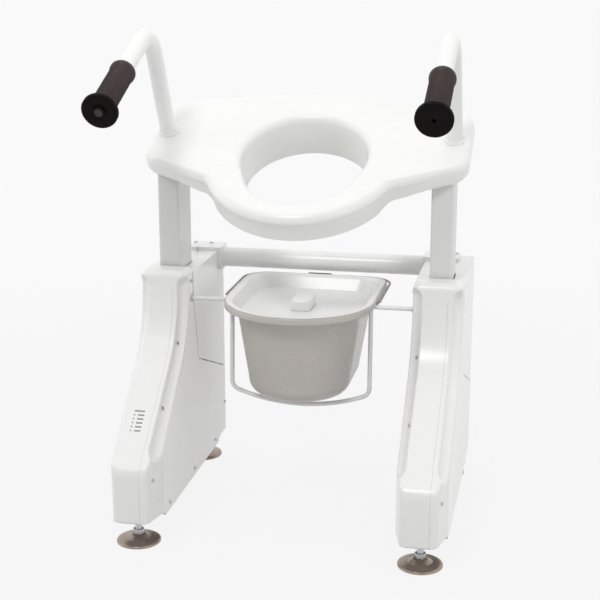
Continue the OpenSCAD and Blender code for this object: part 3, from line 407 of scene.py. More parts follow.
def setSky(spec):
    world = bpy.data.worlds.new("studio")
    scene.world = world
    shade = Shade(world)
    white, pale = (1, 1, 1, 1), linear(spec["background"])
    around, ahead, plain = (
        shade.add("ShaderNodeBackground", values={"Color": colour, "Strength": strength})
        for colour, strength in ((white, spec["ambient"]), (white, spec["ambientFront"]), (pale, 1.0)))
    forward = shade.axis(shade.add("ShaderNodeNewGeometry", output="Incoming"), 1)
    front = shade.span(forward, *spec["frontBand"], 0.0, 1.0)
    around = shade.mixSurface(front, around, ahead)  # less light from the camera's side
    mixed = shade.mixSurface(shade.rays("Camera", "Transmission"), around, plain)
    shade.add("ShaderNodeOutputWorld", values={"Surface": mixed})


def setFloor(spec):
    half = spec["floorSize"] / 2 / mm
    corners = [(-half, -half, 0), (half, -half, 0), (half, half, 0), (-half, half, 0)]
    floor = makePiece("floor", corners, [[0, 1, 2, 3]])
    pale = bpy.data.materials.new("paleFloor")
    shade = Shade(pale)
    place = shade.add("ShaderNodeTexCoord", output="Object")
    away = shade.add("ShaderNodeVectorMath", {"operation": "LENGTH"}, {0: place}, 1)
    keep = shade.span(away, *spec["floorBand"], spec["floorKeep"], 1.0)
    matt = shade.add("ShaderNodeBsdfDiffuse", values={"Color": (spec["floorTone"],) * 3 + (1,)})
    glow = shade.add("ShaderNodeEmission", values={"Color": linear(spec["background"]), "Strength": 1.0})
    mixed = shade.mixSurface(shade.rays("Camera", "Glossy") * keep, matt, glow)
    shade.add("ShaderNodeOutputMaterial", values={"Surface": mixed})
    floor.data.materials.append(pale)


def setLamps(spec):
    for name, place, aim, size, power in spec["lamps"]:
        light = bpy.data.lights.new(name, "AREA")
        light.shape = "DISK"
        light.size = size
        light.energy = power
        lamp = addObject(name, light)
        lamp.location = place
        lamp.rotation_euler = (Vector(aim) - Vector(place)).to_track_quat("-Z", "Y").to_euler()


setSky(studioSpec)
setFloor(studioSpec)
setLamps(studioSpec)
scene.view_settings.view_transform = "Standard"
print("camera and studio set")


# seat shell: outline, rim, dished top, mouth and splash guard

seatSpec = {
    "width": 586, "top": 46.3, "armLine": 68.5, "tilt": 27, "pivotY": 30, "pivotZ": 613,
    "frontCentre": (0, -65), "frontRadius": 175, "hip": 30, "wingRoot": (165, -131), "wingLean": 23.7,
    "wingStart": 8, "wingParts": 15.6, "tip": 40, "heel": 49, "rearRadius": 902, "rearLine": 139,
    "eye": (0, -72), "openRear": ((0, -51), 113.5), "openFront": ((0, -94), 98), "rim": 15, "roll": 3,
    "rollGap": 1.4, "mouth": 14, "dish": 3, "guard": 85, "guardWall": 5, "guardRoot": 10, "skirtWall": 6,
    "skirtFront": -20, "skin": [(195, 8), (230, 22)],
    "frontDepth": [(150, 55), (172, 44), (198, 42), (232, 36)], "rearDepth": [(198, 37), (232, 36)],
    "tuck": [(37, 0), (42, 5)], "tuckLow": 1.3, "hem": [(37, 10), (42, 1.2)], "crease": 38,
}


def onSeat(spec):  # from the level seat, hinge at the origin, to the shared frame, mm
    tilt = math.radians(spec["tilt"])

    def place(p):
        y = p[1] * math.cos(tilt) - p[2] * math.sin(tilt)
        z = p[1] * math.sin(tilt) + p[2] * math.cos(tilt)
        return (p[0], spec["pivotY"] + rowShift + y, spec["pivotZ"] + z)
    return place


def seatOutline(spec):
    frontCentre, frontRadius, hip = Vector(spec["frontCentre"]), spec["frontRadius"], spec["hip"]
    wing, lean, tip = Vector(spec["wingRoot"]), spec["wingLean"], spec["tip"]
    heel, rearRadius, side = spec["heel"], spec["rearRadius"], spec["width"] / 2
    run = Vector((math.cos(math.radians(lean)), math.sin(math.radians(lean))))
    q = wing + hip * Vector((run.y, -run.x)) - frontCentre
    back = -q.dot(run) + math.sqrt(q.dot(run) ** 2 - q.dot(q) + (frontRadius + hip) ** 2)
    hipCentre = frontCentre + q + back * run
    hipAngle = math.degrees(math.atan2(hipCentre.y - frontCentre.y, hipCentre.x))
    reach = (side - wing.x) / run.x
    tipY = (wing + run * reach).y + tip * math.tan(math.radians((90 - lean) / 2))
    rearCentre = Vector((0, spec["rearLine"] - rearRadius))
    heelX = side - heel
    heelCentre = Vector((heelX, rearCentre.y + math.sqrt((rearRadius - heel) ** 2 - heelX ** 2)))
    heelAngle = math.degrees(math.atan2(heelCentre.y - rearCentre.y, heelCentre.x))
    half = arcPoints(frontCentre, frontRadius, -90, hipAngle, 44)
    half += arcPoints(hipCentre, hip, hipAngle + 180, lean + 90, 14)
    half += [tuple(wing + run * (spec["wingStart"] + reach * k / spec["wingParts"])) for k in range(1, 10)]
    half += arcPoints((side - tip, tipY), tip, lean - 90, 0, 16)
    half += [(side, tipY + (heelCentre.y - tipY) * k / 4) for k in range(1, 4)]
    half += arcPoints(heelCentre, heel, 0, heelAngle, 16)
    half += arcPoints(rearCentre, rearRadius, heelAngle, 90, 28)[1:]
    clean = [half[0]]
    for p in half[1:]:
        if (Vector(p) - Vector(clean[-1])).length > 0.05:
            clean.append(p)
    return mirrored(clean)


def seatMouth(spec, outline):  # two circles and the lines that touch both, one point for each of the outline's
    eye = Vector(spec["eye"])
    circles = (spec["openRear"], spec["openFront"])
    (rear, rearRadius), (front, frontRadius) = ((Vector(centre) - eye, radius) for centre, radius in circles)
    lean = (frontRadius - rearRadius) / (rear.y - front.y)
    normal = Vector((math.sqrt(1 - lean * lean), lean))
    rearTouch, frontTouch = rear + rearRadius * normal, front + frontRadius * normal

    def reach(d, centre, radius):
        q = centre.dot(d)
        return q + math.sqrt(q * q - centre.length_squared + radius * radius)
    ring = []
    for p in outline:
        d = (Vector(p) - eye).normalized()
        turn = math.atan2(d.y, abs(d.x))
        if turn > math.atan2(rearTouch.y, rearTouch.x):
            length = reach(d, rear, rearRadius)
        elif turn < math.atan2(frontTouch.y, frontTouch.x):
            length = reach(d, front, frontRadius)
        else:
            length = normal.dot(rearTouch) / normal.dot(Vector((abs(d.x), d.y)))
        ring.append(tuple(eye + d * length))
    return ring


def makeSeat(spec):
    outline = seatOutline(spec)
    border = np.array(outline)
    across = np.array(seatMouth(spec, outline)) - border
    span = np.linalg.norm(across, axis=1)
    aside = np.abs(border[:, 0])
    frontal = border[:, 1] < spec["skirtFront"]
    edge = np.where(frontal, mapValue(aside, spec["frontDepth"]), mapValue(aside, spec["rearDepth"]))
    skin = mapValue(aside, spec["skin"])
    tuck = mapValue(edge, spec["tuck"])  # the skirt stands back under the rolled rim
    hem = mapValue(edge, spec["hem"])
    rim, mouth, dish, guard, wall = (spec[key] for key in ("rim", "mouth", "dish", "guard", "guardWall"))

    def fromEdge(inset, depth):  # each a number or one value per point
        flat = border + across * (inset / span)[:, None]
        return np.column_stack([flat, np.broadcast_to(depth, span.shape)]).tolist()

    def fromMouth(inset, depth):
        return fromEdge(span - inset, depth)
    low, roll = tuck * spec["tuckLow"], spec["roll"]
    rings = [fromEdge(low + hem * (1 - math.cos(a)), edge - hem * (1 - math.sin(a))) for a in turns(90, 0, 6)]
    rings.append(fromEdge(tuck, rim + roll + spec["rollGap"]))
    rings += [fromEdge(tuck * (1 - math.cos(a)), rim + roll * math.sin(a)) for a in turns(90, 0, 5)]
    rings += [fromEdge(rim * (1 - math.cos(a)), rim * (1 - math.sin(a))) for a in turns(0, 90, 12)[1:]]
    rings += [fromEdge(rim + (span - rim - mouth) * k / 12, dish * (k / 12) ** 2) for k in range(1, 12)]
    rings += [fromMouth(mouth * (1 - math.cos(a)), dish + mouth * (1 - math.sin(a))) for a in turns(90, 0, 12)]
    rings += [fromMouth(*row) for row in (
        (0, guard - 1.6), (0.5, guard - 0.4), (1.5, guard), (wall - 1, guard), (wall, guard - 1),
        (wall, spec["guardRoot"]))]
    inner = spec["skirtWall"] + tuck
    rings += [fromEdge(*row) for row in (
        (span / 2, skin), (inner + 3, skin), (inner, np.minimum(skin + 3, edge)), (inner, edge - 0.6),
        (inner - 0.8, edge))]
    place = onSeat(spec)
    onTop = lambda p: place((p[0], p[1] + spec["armLine"], spec["top"] - p[2]))
    piece = loft("seatShell", rings, True, onTop)
    smooth(piece, spec["crease"])
    seatPiece(piece, "seat", "seatMoulding")


makeSeat(seatSpec)
print("seat shell lofted")


# tower covers: toe, instep, neck and the two coves

coverSpec = {
    "middle": 249, "width": 89, "toeWidth": 67.5, "toeRun": 45, "heel": 10, "wall": 5, "toeFront": 261,
    "neckFront": 34, "rear": 240, "slope": 40, "toeHeight": 148, "toeRadius": 28, "ankle": 160, "neckTop": 447,
    "skirt": 42, "below": 60, "cove": 17, "coveStart": 50, "coveEnd": 27, "toeCorner": 16, "topRadius": 14,
    "flare": 13, "edge": 4, "coveEdge": 3.5, "cutEdge": 0.8, "neckCorner": 14, "cornerBand": (42, 14),
    "neckRear": 10, "neckLow": 389, "footY": 212, "rearNotch": (27, 35), "frontNotch": (20, 12), "lift": 10,
    "past": 9, "seamFront": 26, "seamRear": 185, "seamSlope": 0.385, "step": 2.4, "nearSkin": 1.1,
    "nearSeam": 1.3, "onSkin": 0.05, "skinProbe": 0.15, "seamProbe": 0.05, "crease": 34,
}


def coverProfile(spec):  # side view, front edge from the toe up to the neck
    slope, turn = math.radians(spec["slope"]), 90 - spec["slope"]
    toe, ankle, top = -spec["toeFront"], -spec["neckFront"], spec["neckTop"]
    low = spec["skirt"] - spec["below"]
    rise = (ankle - toe) * math.tan(slope)
    toeRadius, ankleRadius, topRadius = spec["toeRadius"], spec["ankle"], spec["topRadius"]
    toeTouch, ankleTouch = (r * math.tan(math.radians(turn / 2)) for r in (toeRadius, ankleRadius))
    outline = [(toe, low)]
    outline += arcPoints((toe + toeRadius, spec["toeHeight"] - toeTouch), toeRadius, 180, 180 - turn, 14)
    hub = (ankle - ankleRadius, spec["toeHeight"] + rise + ankleTouch)
    outline += arcPoints(hub, ankleRadius, -turn, 0, 36)
    outline += arcPoints((ankle + topRadius, top - topRadius), topRadius, 180, 90, 10)
    return outline + [(spec["rear"], top), (spec["rear"], low)]


def coverPlan(spec):
    half, toe, corner, heel = spec["width"] / 2, spec["toeWidth"] / 2, spec["toeCorner"], spec["heel"]
    front, rear = corner - spec["toeFront"], spec["rear"] - heel
    right = arcPoints((toe - corner, front), corner, -90, 0, 12)
    right += [(half, front + spec["toeRun"])] + arcPoints((half - heel, rear), heel, 0, 90, 8)
    return right + [(-x, y) for x, y in right[::-1]]


def polygonField(outline, uu, vv):  # signed distance to a closed outline
    best = 1e12
    inside = np.zeros(np.broadcast(uu, vv).shape, bool)
    for (u0, v0), (u1, v1) in zip(outline, outline[1:] + outline[:1]):
        du, dv = u1 - u0, v1 - v0
        if du * du + dv * dv < 1e-12:
            continue
        t = np.clip(((uu - u0) * du + (vv - v0) * dv) / (du * du + dv * dv), 0, 1)
        best = np.minimum(best, (uu - u0 - t * du) ** 2 + (vv - v0 - t * dv) ** 2)
        if abs(dv) > 1e-12:
            inside ^= ((v0 > vv) != (v1 > vv)) & (uu < u0 + du * (vv - v0) / dv)
    return np.where(inside, -np.sqrt(best), np.sqrt(best))


def roundMax(a, b, radius):  # where both hold, with the edge between them rounded
    u, v = np.maximum(radius + a, 0), np.maximum(radius + b, 0)
    return np.minimum(-radius, np.maximum(a, b)) + np.sqrt(u * u + v * v)


def taperField(p, first, last, r0, r1):  # distance to a tube whose radius runs from r0 to r1
    way = [l - f for f, l in zip(first, last)]
    t = np.clip(sum((c - f) * w for c, f, w in zip(p, first, way)) / sum(w * w for w in way), 0, 1)
    return np.sqrt(sum((c - f - t * w) ** 2 for c, f, w in zip(p, first, way))) - r0 - t * (r1 - r0)


def coveField(spec, p):  # flared run up the instep, bend at the ankle, run up the neck
    slope, turn = math.radians(spec["slope"]), math.radians(90 - spec["slope"])
    side, r, flare, ankle = spec["width"] / 2, spec["cove"], spec["flare"], spec["ankle"]
    toe, neck, begin = -spec["toeFront"], -spec["neckFront"], spec["coveStart"]
    bend = spec["toeHeight"] + (neck - toe) * math.tan(slope) + ankle * math.tan(turn / 2)
    hub = neck - ankle
    start = (side + flare, toe + begin * math.cos(slope), spec["toeHeight"] + begin * math.sin(slope))
    touch = (side, hub + ankle * math.cos(turn), bend - ankle * math.sin(turn))
    instep = taperField(p, start, touch, r + flare, r)
    upright = taperField(p, (side, neck, bend), (side, neck, spec["neckTop"] - spec["coveEnd"]), r, r)
    angle = np.arctan2(p[2] - bend, p[1] - hub)
    ring = np.sqrt((np.hypot(p[1] - hub, p[2] - bend) - ankle) ** 2 + (p[0] - side) ** 2) - r
    return np.minimum(np.minimum(instep, upright), np.where((angle > -turn) & (angle < 0), ring, 1e3))


def coverField(spec, p):  # the cover's outer skin, with its rounded edges
    side = polygonField(coverProfile(spec), p[1], p[2])
    top = polygonField(coverPlan(spec), np.abs(p[0]), p[1])
    band = [spec["neckTop"] - drop for drop in spec["cornerBand"]]
    corner = np.interp(p[2], band, [spec["edge"], spec["neckCorner"]])
    cove = coveField(spec, [np.abs(p[0]), p[1], p[2]])
    return roundMax(roundMax(side, top, corner), -cove, spec["coveEdge"])


def gradient(field, p, step):  # central differences, one row for each place
    ways = []
    for axis in range(len(p)):
        more, less = list(p), list(p)
        more[axis], less[axis] = p[axis] + step, p[axis] - step
        ways.append((field(more) - field(less)) / (2 * step))
    return np.stack(ways, 1)


def surfaceNet(field):  # one point per crossed cell, one face per crossed edge; points in cells
    shape = tuple(n - 1 for n in field.shape)
    total, count, faces = np.zeros(shape + (3,)), np.zeros(shape), []
    for axis in range(3):
        u, v = (axis + 1) % 3, (axis + 2) % 3
        low = tuple(slice(None, -1) if k == axis else slice(1, -1) for k in range(3))
        high = tuple(slice(1, None) if k == axis else slice(1, -1) for k in range(3))
        a, b = field[low], field[high]
        cross = np.argwhere((a < 0) != (b < 0))
        first, second = a[tuple(cross.T)], b[tuple(cross.T)]
        cross[:, [u, v]] += 1
        point = cross.astype(float)
        point[:, axis] += first / (first - second)
        corners = []
        for du, dv in ((1, 1), (0, 1), (0, 0), (1, 0)):
            cell = cross.copy()
            cell[:, u] -= du
            cell[:, v] -= dv
            np.add.at(total, tuple(cell.T), point)
            np.add.at(count, tuple(cell.T), 1)
            corners.append(np.ravel_multi_index(tuple(cell.T), shape))
        faces.append(np.where((first < 0)[:, None], np.stack(corners, 1), np.stack(corners[::-1], 1)))
    live = np.flatnonzero(count.ravel())
    index = np.zeros(count.size, int)
    index[live] = np.arange(len(live))
    points = total.reshape(-1, 3)[live] / count.ravel()[live][:, None]
    return points, index[np.concatenate(faces)]


def coverZone(spec):  # what the cover keeps in side view, up to the seam and the neck's rear
    skirt, lift, past, foot = spec["skirt"], spec["skirt"] + spec["lift"], spec["past"], spec["footY"]
    front, rear, top = -spec["toeFront"] - past, spec["rear"] + past, spec["neckTop"] + past
    bend = postFront + spec["seamFront"]
    (rearHigh, rearLow), (frontLow, frontHigh) = spec["rearNotch"], spec["frontNotch"]
    seam = lambda y: spec["seamRear"] + (spec["rear"] - y) * spec["seamSlope"]
    return [(front, lift), (front, top), (spec["neckRear"], top), (spec["neckRear"], spec["neckLow"]),
            (bend, seam(bend)), (rear, seam(rear)), (rear, lift), (foot - rearHigh, lift),
            (foot - rearLow, skirt), (frontLow - foot, skirt), (frontHigh - foot, lift)]


def makeCovers(spec):
    zone = coverZone(spec)
    skinAt = lambda p: coverField(spec, p)
    seamAt = lambda p: polygonField(zone, p[0], p[1])

    def leanAt(p):  # outward direction of the skin
        lean = gradient(skinAt, p, spec["skinProbe"])
        return lean / np.maximum(np.linalg.norm(lean, axis=1), 1e-9)[:, None]
    fine = spec["step"]
    runs = [[(2, 18, 4.0), (18, spec["width"] / 2 + 3 * fine, fine)],  # close cells only at edges
            [(-spec["toeFront"] - 5, 50, fine), (50, 228, 7.0), (228, spec["rear"] + 6, fine)],
            [(37, 56, fine), (56, 118, 5.0), (118, spec["neckTop"] + 6, fine)]]
    x, y, z = (np.concatenate([np.arange(*run) for run in line]) for line in runs)
    p = np.meshgrid(x, y, z, indexing="ij", sparse=True)
    skin = skinAt(p)
    field = roundMax(np.maximum(skin, -skin - spec["wall"]), seamAt(p[1:]), spec["cutEdge"])
    points, faces = surfaceNet(np.concatenate([field[::-1], field]))
    lines = (np.concatenate([-x[::-1], x]), y, z)
    places = np.stack([np.interp(c, np.arange(len(line)), line) for c, line in zip(points.T, lines)], 1)
    outer = np.flatnonzero(np.abs(skinAt(places.T)) < spec["nearSkin"])
    rims = np.flatnonzero(np.abs(seamAt(places[:, 1:].T)) < spec["nearSeam"])
    for again in range(3):  # cut edges drawn onto the seam line, the rest onto the skin
        at = places[rims, 1:].T
        places[rims, 1:] -= gradient(seamAt, at, spec["seamProbe"]) * seamAt(at)[:, None]
        at = places[outer].T
        places[outer] -= leanAt(at) * skinAt(at)[:, None]
    onSkin = np.abs(skinAt(places.T)) < spec["onSkin"]
    normals = np.where(onSkin[:, None], leanAt(places.T), 0)
    for side, node, finish, order in ((-1, "left_front_cover", "towerTicked", [0, 3, 2, 1]),
                                      (1, "right_front_cover", "towerLined", [0, 1, 2, 3])):
        spots = places * (side, 1, 1) + (spec["middle"] * side, rowShift, 0)
        piece = makePiece(node + "Shell", spots.tolist(), faces[:, order].tolist())
        smooth(piece, spec["crease"])
        piece.data.normals_split_custom_set_from_vertices((normals * (side, 1, 1)).tolist())
        seatPiece(piece, node, finish)
    print("cover faces:", len(faces))


makeCovers(coverSpec)
print("tower covers shaped")


# pail: D-shaped wall with a rolled lip and a ledge for the lid; the lid's tray and block

pailSpec = {"lip": 137, "lipFront": 143, "lipRear": 183, "lipZ": 400.5, "lipEdge": 6, "lipHang": 5,
            "hangBand": [(20, 0), (50, 1)], "top": 115, "foot": 89, "low": 229, "footRadius": 26, "corner": 36,
            "lean": 10, "wall": 2.5, "collar": 6, "collarDepth": 11, "lidDrop": 22, "lidEdge": 4, "mouth": 8.5,
            "tray": 1.4, "blockSize": (37, 67), "blockCorner": 9, "blockY": 22, "blockDrop": 3, "blockEdge": 3,
            "crease": 36, "trayCrease": 50}


def makePail(spec):
    lip, lipRear, top, hang, wall = (spec[key] for key in ("lip", "lipRear", "lipZ", "lipHang", "wall"))
    centre, under, footZ = lip - spec["lipFront"], top - spec["lipEdge"], spec["low"] + spec["footRadius"]

    def ring(w, rear, r, z, hang=0):  # the front may hang lower than the rest
        half = arcPoints((0, centre), w, -90, 0, 40)
        half += [(w, centre + (rear - r - centre) * k / 8) for k in range(1, 8)]
        half += arcPoints((w - r, rear - r), r, 0, 90, 14)
        half += [((w - r) * (1 - k / 6), rear) for k in range(1, 7)]
        return [(x, y + rowShift, z - hang * mapValue(-y, spec["hangBand"])) for x, y in mirrored(half)]

    def rim(inset, z, hang=0, corner=40):
        return ring(lip - inset, lipRear - inset, corner, z, hang)

    def wallAt(z):  # half width and rear of the leaning wall
        draw = spec["top"] - spec["foot"]
        w = spec["foot"] + draw * (z - spec["low"]) / (under - spec["low"])
        return w, lipRear - lip + w + spec["lean"] * (w - spec["top"]) / draw

    def body(*rows):
        return [ring(*(size - inset for size in (*wallAt(z), spec["corner"])), z) for inset, z in rows]

    def foot(inset, degrees):
        r, a = spec["footRadius"] - inset, math.radians(degrees)
        draw = inset + r * (1 - math.sin(a))
        return ring(*(size - draw for size in (*wallAt(footZ), spec["corner"])), footZ - r * math.cos(a))
    ledge, collar, step = top - spec["lidDrop"] - spec["lidEdge"], spec["collar"], under - spec["collarDepth"]
    rings = [foot(0, a) for a in (0, 12, 24, 36, 48, 60, 72, 82)]
    rings += body(*((0, footZ + (step - 0.8 - footZ) * k / 6) for k in range(7)))
    rings += body((-0.6, step), (0.8 - collar, step), (0.2 - collar, step + 0.3), (-collar, step + 1.1),
                  (-collar, under - 1.2), (-collar - 1.2, under))
    rings += [rim(3.4, under), rim(2.8, under, hang - 0.6), rim(1.2, under, hang)]
    rings += [rim(1 - math.sin(a), under + 1 - math.cos(a), hang) for a in turns(0, 90, 3)[1:]]
    rings += [rim(2 - 2 * math.cos(a), top - 2 + 2 * math.sin(a)) for a in turns(0, 90, 3)]
    mouth = -spec["mouth"]  # the mouth opens out above the ledge
    rings += body((mouth - 1.5, top), (mouth + 0.3, top - 0.4), (mouth + 1.6, top - 1.6),
                  (mouth + wall, top - 3.4), (wall, ledge + 0.8), (wall + 0.8, ledge), (wall + 3.4, ledge),
                  (wall + 4, ledge - 0.8), (wall, ledge - 7))
    rings += body(*((wall, footZ + (ledge - 9 - footZ) * k / 5) for k in range(5, -1, -1)))
    rings += [foot(wall, a) for a in (72, 54, 36, 18, 0)]
    piece = loft("pailShell", rings, closed=False)
    smooth(piece, spec["crease"])
    seatPiece(piece, "pail", "pailMoulding")
    skin, base, gap = spec["tray"], ledge + spec["lidEdge"] - 1.5, wall + 0.5
    rings = body((gap + skin, base), (mouth + gap + skin, top - 3.2), (mouth + 2 + skin, top - 0.6),
                 (mouth + 0.8 + skin, top + 0.6), (mouth - 0.6, top + 0.4 + skin))
    rings += [rim(4, top + 0.4 + skin, 0, 39), rim(3.1, top + skin, 0, 39), rim(3, top + 0.4, 0, 39)]
    rings += body((mouth - 1.2, top + 0.3), (mouth + 0.8, top - 0.1), (mouth + 2.1, top - 1.4),
                  (mouth + gap, top - 3.2), (gap, base))
    tray = loft("lidTray", rings)  # the lid's wall and the flange it lies on
    smooth(tray, spec["trayCrease"])
    (x, y), r = (size / 2 for size in spec["blockSize"]), spec["blockCorner"]
    corner = arcPoints((x - r, y - r), r, 0, 90, 8)
    half = corner + [(-x, y) for x, y in corner[::-1]]
    outline = [(x, y + spec["blockY"] + rowShift) for x, y in half + [(-x, -y) for x, y in half]]
    low, high = ledge + spec["lidEdge"], top - spec["blockDrop"]
    block = prism("lidBlock", outline, low, high)  # plain sides over the finger grooves
    softenEdges(block, spec["blockEdge"] * mm, 4)
    for piece in (tray, block):
        seatPiece(piece, "pail_lid", "lidMoulding", stands=False)


makePail(pailSpec)
print("pail lofted")


# arms: a round tube swept up from the seat, round its bend and on to the grip

armSpec = {"x": 262, "line": seatSpec["armLine"], "low": 15.6, "height": seatSpec["top"] + 218, "reach": 292.7,
           "bend": 60, "rise": 4, "radius": 15, "end": 14, "sides": 56, "crease": 40}


def makeArms(spec):
    line, low, bend, r = (spec[key] for key in ("line", "low", "bend", "radius"))
    arc = turns(0, 90 - spec["rise"], 24)
    turn = arc[-1]
    touch = bend * math.tan(turn / 2)
    bendZ = spec["height"] - touch
    path = [(line, low + (bendZ - low) * k / 5, 0) for k in range(5)]
    path += [(line - bend + bend * math.cos(a), bendZ + bend * math.sin(a), a) for a in arc]
    path += [(line - math.sin(turn) * f, spec["height"] + math.cos(turn) * f, turn)
             for f in (touch + (spec["reach"] - spec["end"] - touch) * k / 5 for k in range(1, 6))]
    for side, node in ((-1, "left_arm_tube"), (1, "right_arm_tube")):
        rings = [[(side * spec["x"] + r * c, y + r * math.cos(a) * d, z + r * math.sin(a) * d)
                  for c, d in circle(spec["sides"])] for y, z, a in path]
        piece = loft(node + "Swept", rings, False, onSeat(seatSpec))
        smooth(piece, spec["crease"])
        seatPiece(piece, node, "powderWhite")


makeArms(armSpec)
print("arms swept")


# what repeats: one shape on points, each with a direction of its own

def spreadTree(name, finish, labels, shape):
    tree = bpy.data.node_groups.new(name, "GeometryNodeTree")
    sockets = [("Geometry", "INPUT", "Geometry")]  # the geometry has to come in first
    sockets += [(label, "INPUT", "Float") for label in labels] + [("Geometry", "OUTPUT", "Geometry")]
    for label, way, kind in sockets:
        tree.interface.new_socket(label, in_out=way, socket_type="NodeSocket" + kind)
    shade = Shade(tree)
    points, *numbers = (shade.add("NodeGroupInput", output=label) for label in ["Geometry"] + labels)
    stored = {"data_type": "FLOAT_VECTOR"}
    way = shade.add("GeometryNodeInputNamedAttribute", stored, {"Name": "axisWay"}, "Attribute")
    turn = shade.add("FunctionNodeAlignRotationToVector", {"axis": "Z"}, {"Vector": way})
    spread = shade.add("GeometryNodeInstanceOnPoints", values={
        "Points": points, "Instance": shape(shade, *numbers), "Rotation": turn})
    real = shade.add("GeometryNodeRealizeInstances", values={"Geometry": spread})
    cover = shade.add("GeometryNodeSetMaterial", values={"Geometry": real, "Material": finishes[finish]})
    shade.add("NodeGroupOutput", values={"Geometry": cover})
    return tree


def spreadOn(name, tree, points, ways, inputs, degrees):
    piece = makePiece(name, points, [])
    way = piece.data.attributes.new("axisWay", "FLOAT_VECTOR", "POINT")
    way.data.foreach_set("vector", [c for w in ways for c in w])
    modifier = piece.modifiers.new("spread", "NODES")
    modifier.node_group = tree
    sockets = {s.name: s.identifier for s in tree.interface.items_tree if s.in_out == "INPUT"}
    for label, value in inputs.items():
        modifier[sockets[label]] = value
    settle(piece)
    outward(piece)
    smooth(piece, degrees)
    return piece


# grips: turned sleeve and end face, and ribs set along the sleeve

gripSpec = {"length": 133, "radius": 20, "flange": 30, "tube": 15.05, "plug": 12.8, "sides": 72, "ribs": 24,
            "ribSize": 0.95, "ribSink": 0.65, "ribSides": (48, 8), "firstRib": 10.5, "lastRib": 16,
            "ribEnd": 0.8, "crease": 50, "ribCrease": 180}


def onArm(spec, length, side):  # from the grip's own axis to the shared frame
    rise = math.radians(spec["rise"])
    along = Vector((0, -math.cos(rise), math.sin(rise)))
    lift = Vector((0, math.sin(rise), math.cos(rise)))
    start = Vector((spec["x"] * side, spec["line"], spec["height"])) + along * (spec["reach"] - length)
    place = onSeat(seatSpec)
    return lambda p: place(start + Vector((p[0], 0, 0)) + lift * p[1] + along * p[2])


def ribShape(shade, *radii):
    path, outline = (
        shade.add("GeometryNodeCurvePrimitiveCircle", values={"Resolution": sides, "Radius": radius})
        for sides, radius in zip(gripSpec["ribSides"], radii))
    return shade.add("GeometryNodeCurveToMesh", values={"Curve": path, "Profile Curve": outline})


def makeGrips(spec):
    tree = spreadTree("gripRibs", "gripRubber", ["Rib radius", "Rib size"], ribShape)
    r, length, flange, tube, count = (spec[key] for key in ("radius", "length", "flange", "tube", "ribs"))
    last, plug, first = length - spec["lastRib"], length - spec["plug"], spec["firstRib"]
    for side, node, hole in ((-1, "left_grip", 9.0), (1, "right_grip", 3.5)):
        place = onArm(armSpec, length, side)
        sleeve = [(tube, 0.6), (tube + 0.5, 0), (r + 0.6, 0), (r + 1.6, 0.6), (r + 2, 1.8), (r + 2, 6.6),
                  (r + 1.4, 7.8), (r - 0.4, 9), (r - 0.7, 9.8), (r - 0.7, last), (r + 0.6, last + 1.4),
                  (r + 3, last + 3.2), (flange - 2.2, last + 5.6), (flange - 0.7, last + 6.5),
                  (flange, last + 8), (hole + 0.3, last + 8), (hole + 0.3, plug), (tube, plug)]
        face = [(flange, last + 8), (flange, length - 2.6), (flange - 0.6, length - 1.1),
                (flange - 2, length - 0.3), (flange - 3.4, length), (hole + 0.8, length), (hole, length - 0.8),
                (hole, last + 8)]
        for label, outline, finish in (("Sleeve", sleeve, "gripRubber"), ("Face", face, "gripEnd")):
            piece = turned(node + label, outline, spec["sides"], place)
            smooth(piece, spec["crease"])
            seatPiece(piece, node, finish, stands=label == "Sleeve")
        run = last - first - spec["ribEnd"]
        points = [place((0, 0, first + run * k / (count - 1))) for k in range(count)]
        way = (Vector(place((0, 0, 1))) - Vector(place((0, 0, 0)))).normalized()
        sizes = {"Rib radius": (r - spec["ribSink"]) * mm, "Rib size": spec["ribSize"] * mm}
        ribs = spreadOn(node + "Ribs", tree, points, [way] * count, sizes, spec["ribCrease"])
        seatPiece(ribs, node, "gripRubber", stands=False)


makeGrips(gripSpec)
print("grips turned and ribbed")


# cover screws: pan heads with a cross recess, one tree for both towers

screwSpec = {"radius": 3.75, "height": 2.3, "rim": 0.7, "dome": 0.8, "shank": (1.9, -3.5), "sides": 24,
             "cross": (1.9, 0.55), "crossFloor": 1.0, "crease": 30, "flank": 204.5,
             "places": [(-167, 57), (-3, 57), (150, 57), (226, 112), (-2, 423)],
             "coves": [((218.5, -53.5, 318.1), (0.778, -0.535, 0.328)),
                       ((219.3, -151.3, 227.4), (0.904, -0.276, 0.326))],
             "toes": [((-213.1, -236, 125.4), (0.973, -0.232, 0)), ((284.9, -236, 125.4), (0.973, -0.232, 0))]}


def screwHead(spec):
    radius, rim, rise, (shank, low) = spec["radius"], spec["rim"], spec["height"] - spec["rim"], spec["shank"]
    outline = [(radius * math.cos(a) ** spec["dome"], rim + rise * math.sin(a)) for a in turns(90, 0, 6)[1:]]
    outline += [(radius, 0.0), (shank, 0.0), (shank, low)]
    rings = [[(r * c, r * s, z) for c, s in circle(spec["sides"])] for r, z in outline]
    head = loft("screwHead", rings, closed=False)
    for wide, deep in (spec["cross"], spec["cross"][::-1]):
        recess = [(-wide, -deep), (wide, -deep), (wide, deep), (-wide, deep)]
        carve(head, prism("recess", recess, spec["crossFloor"], 2 * spec["height"]))
    return head


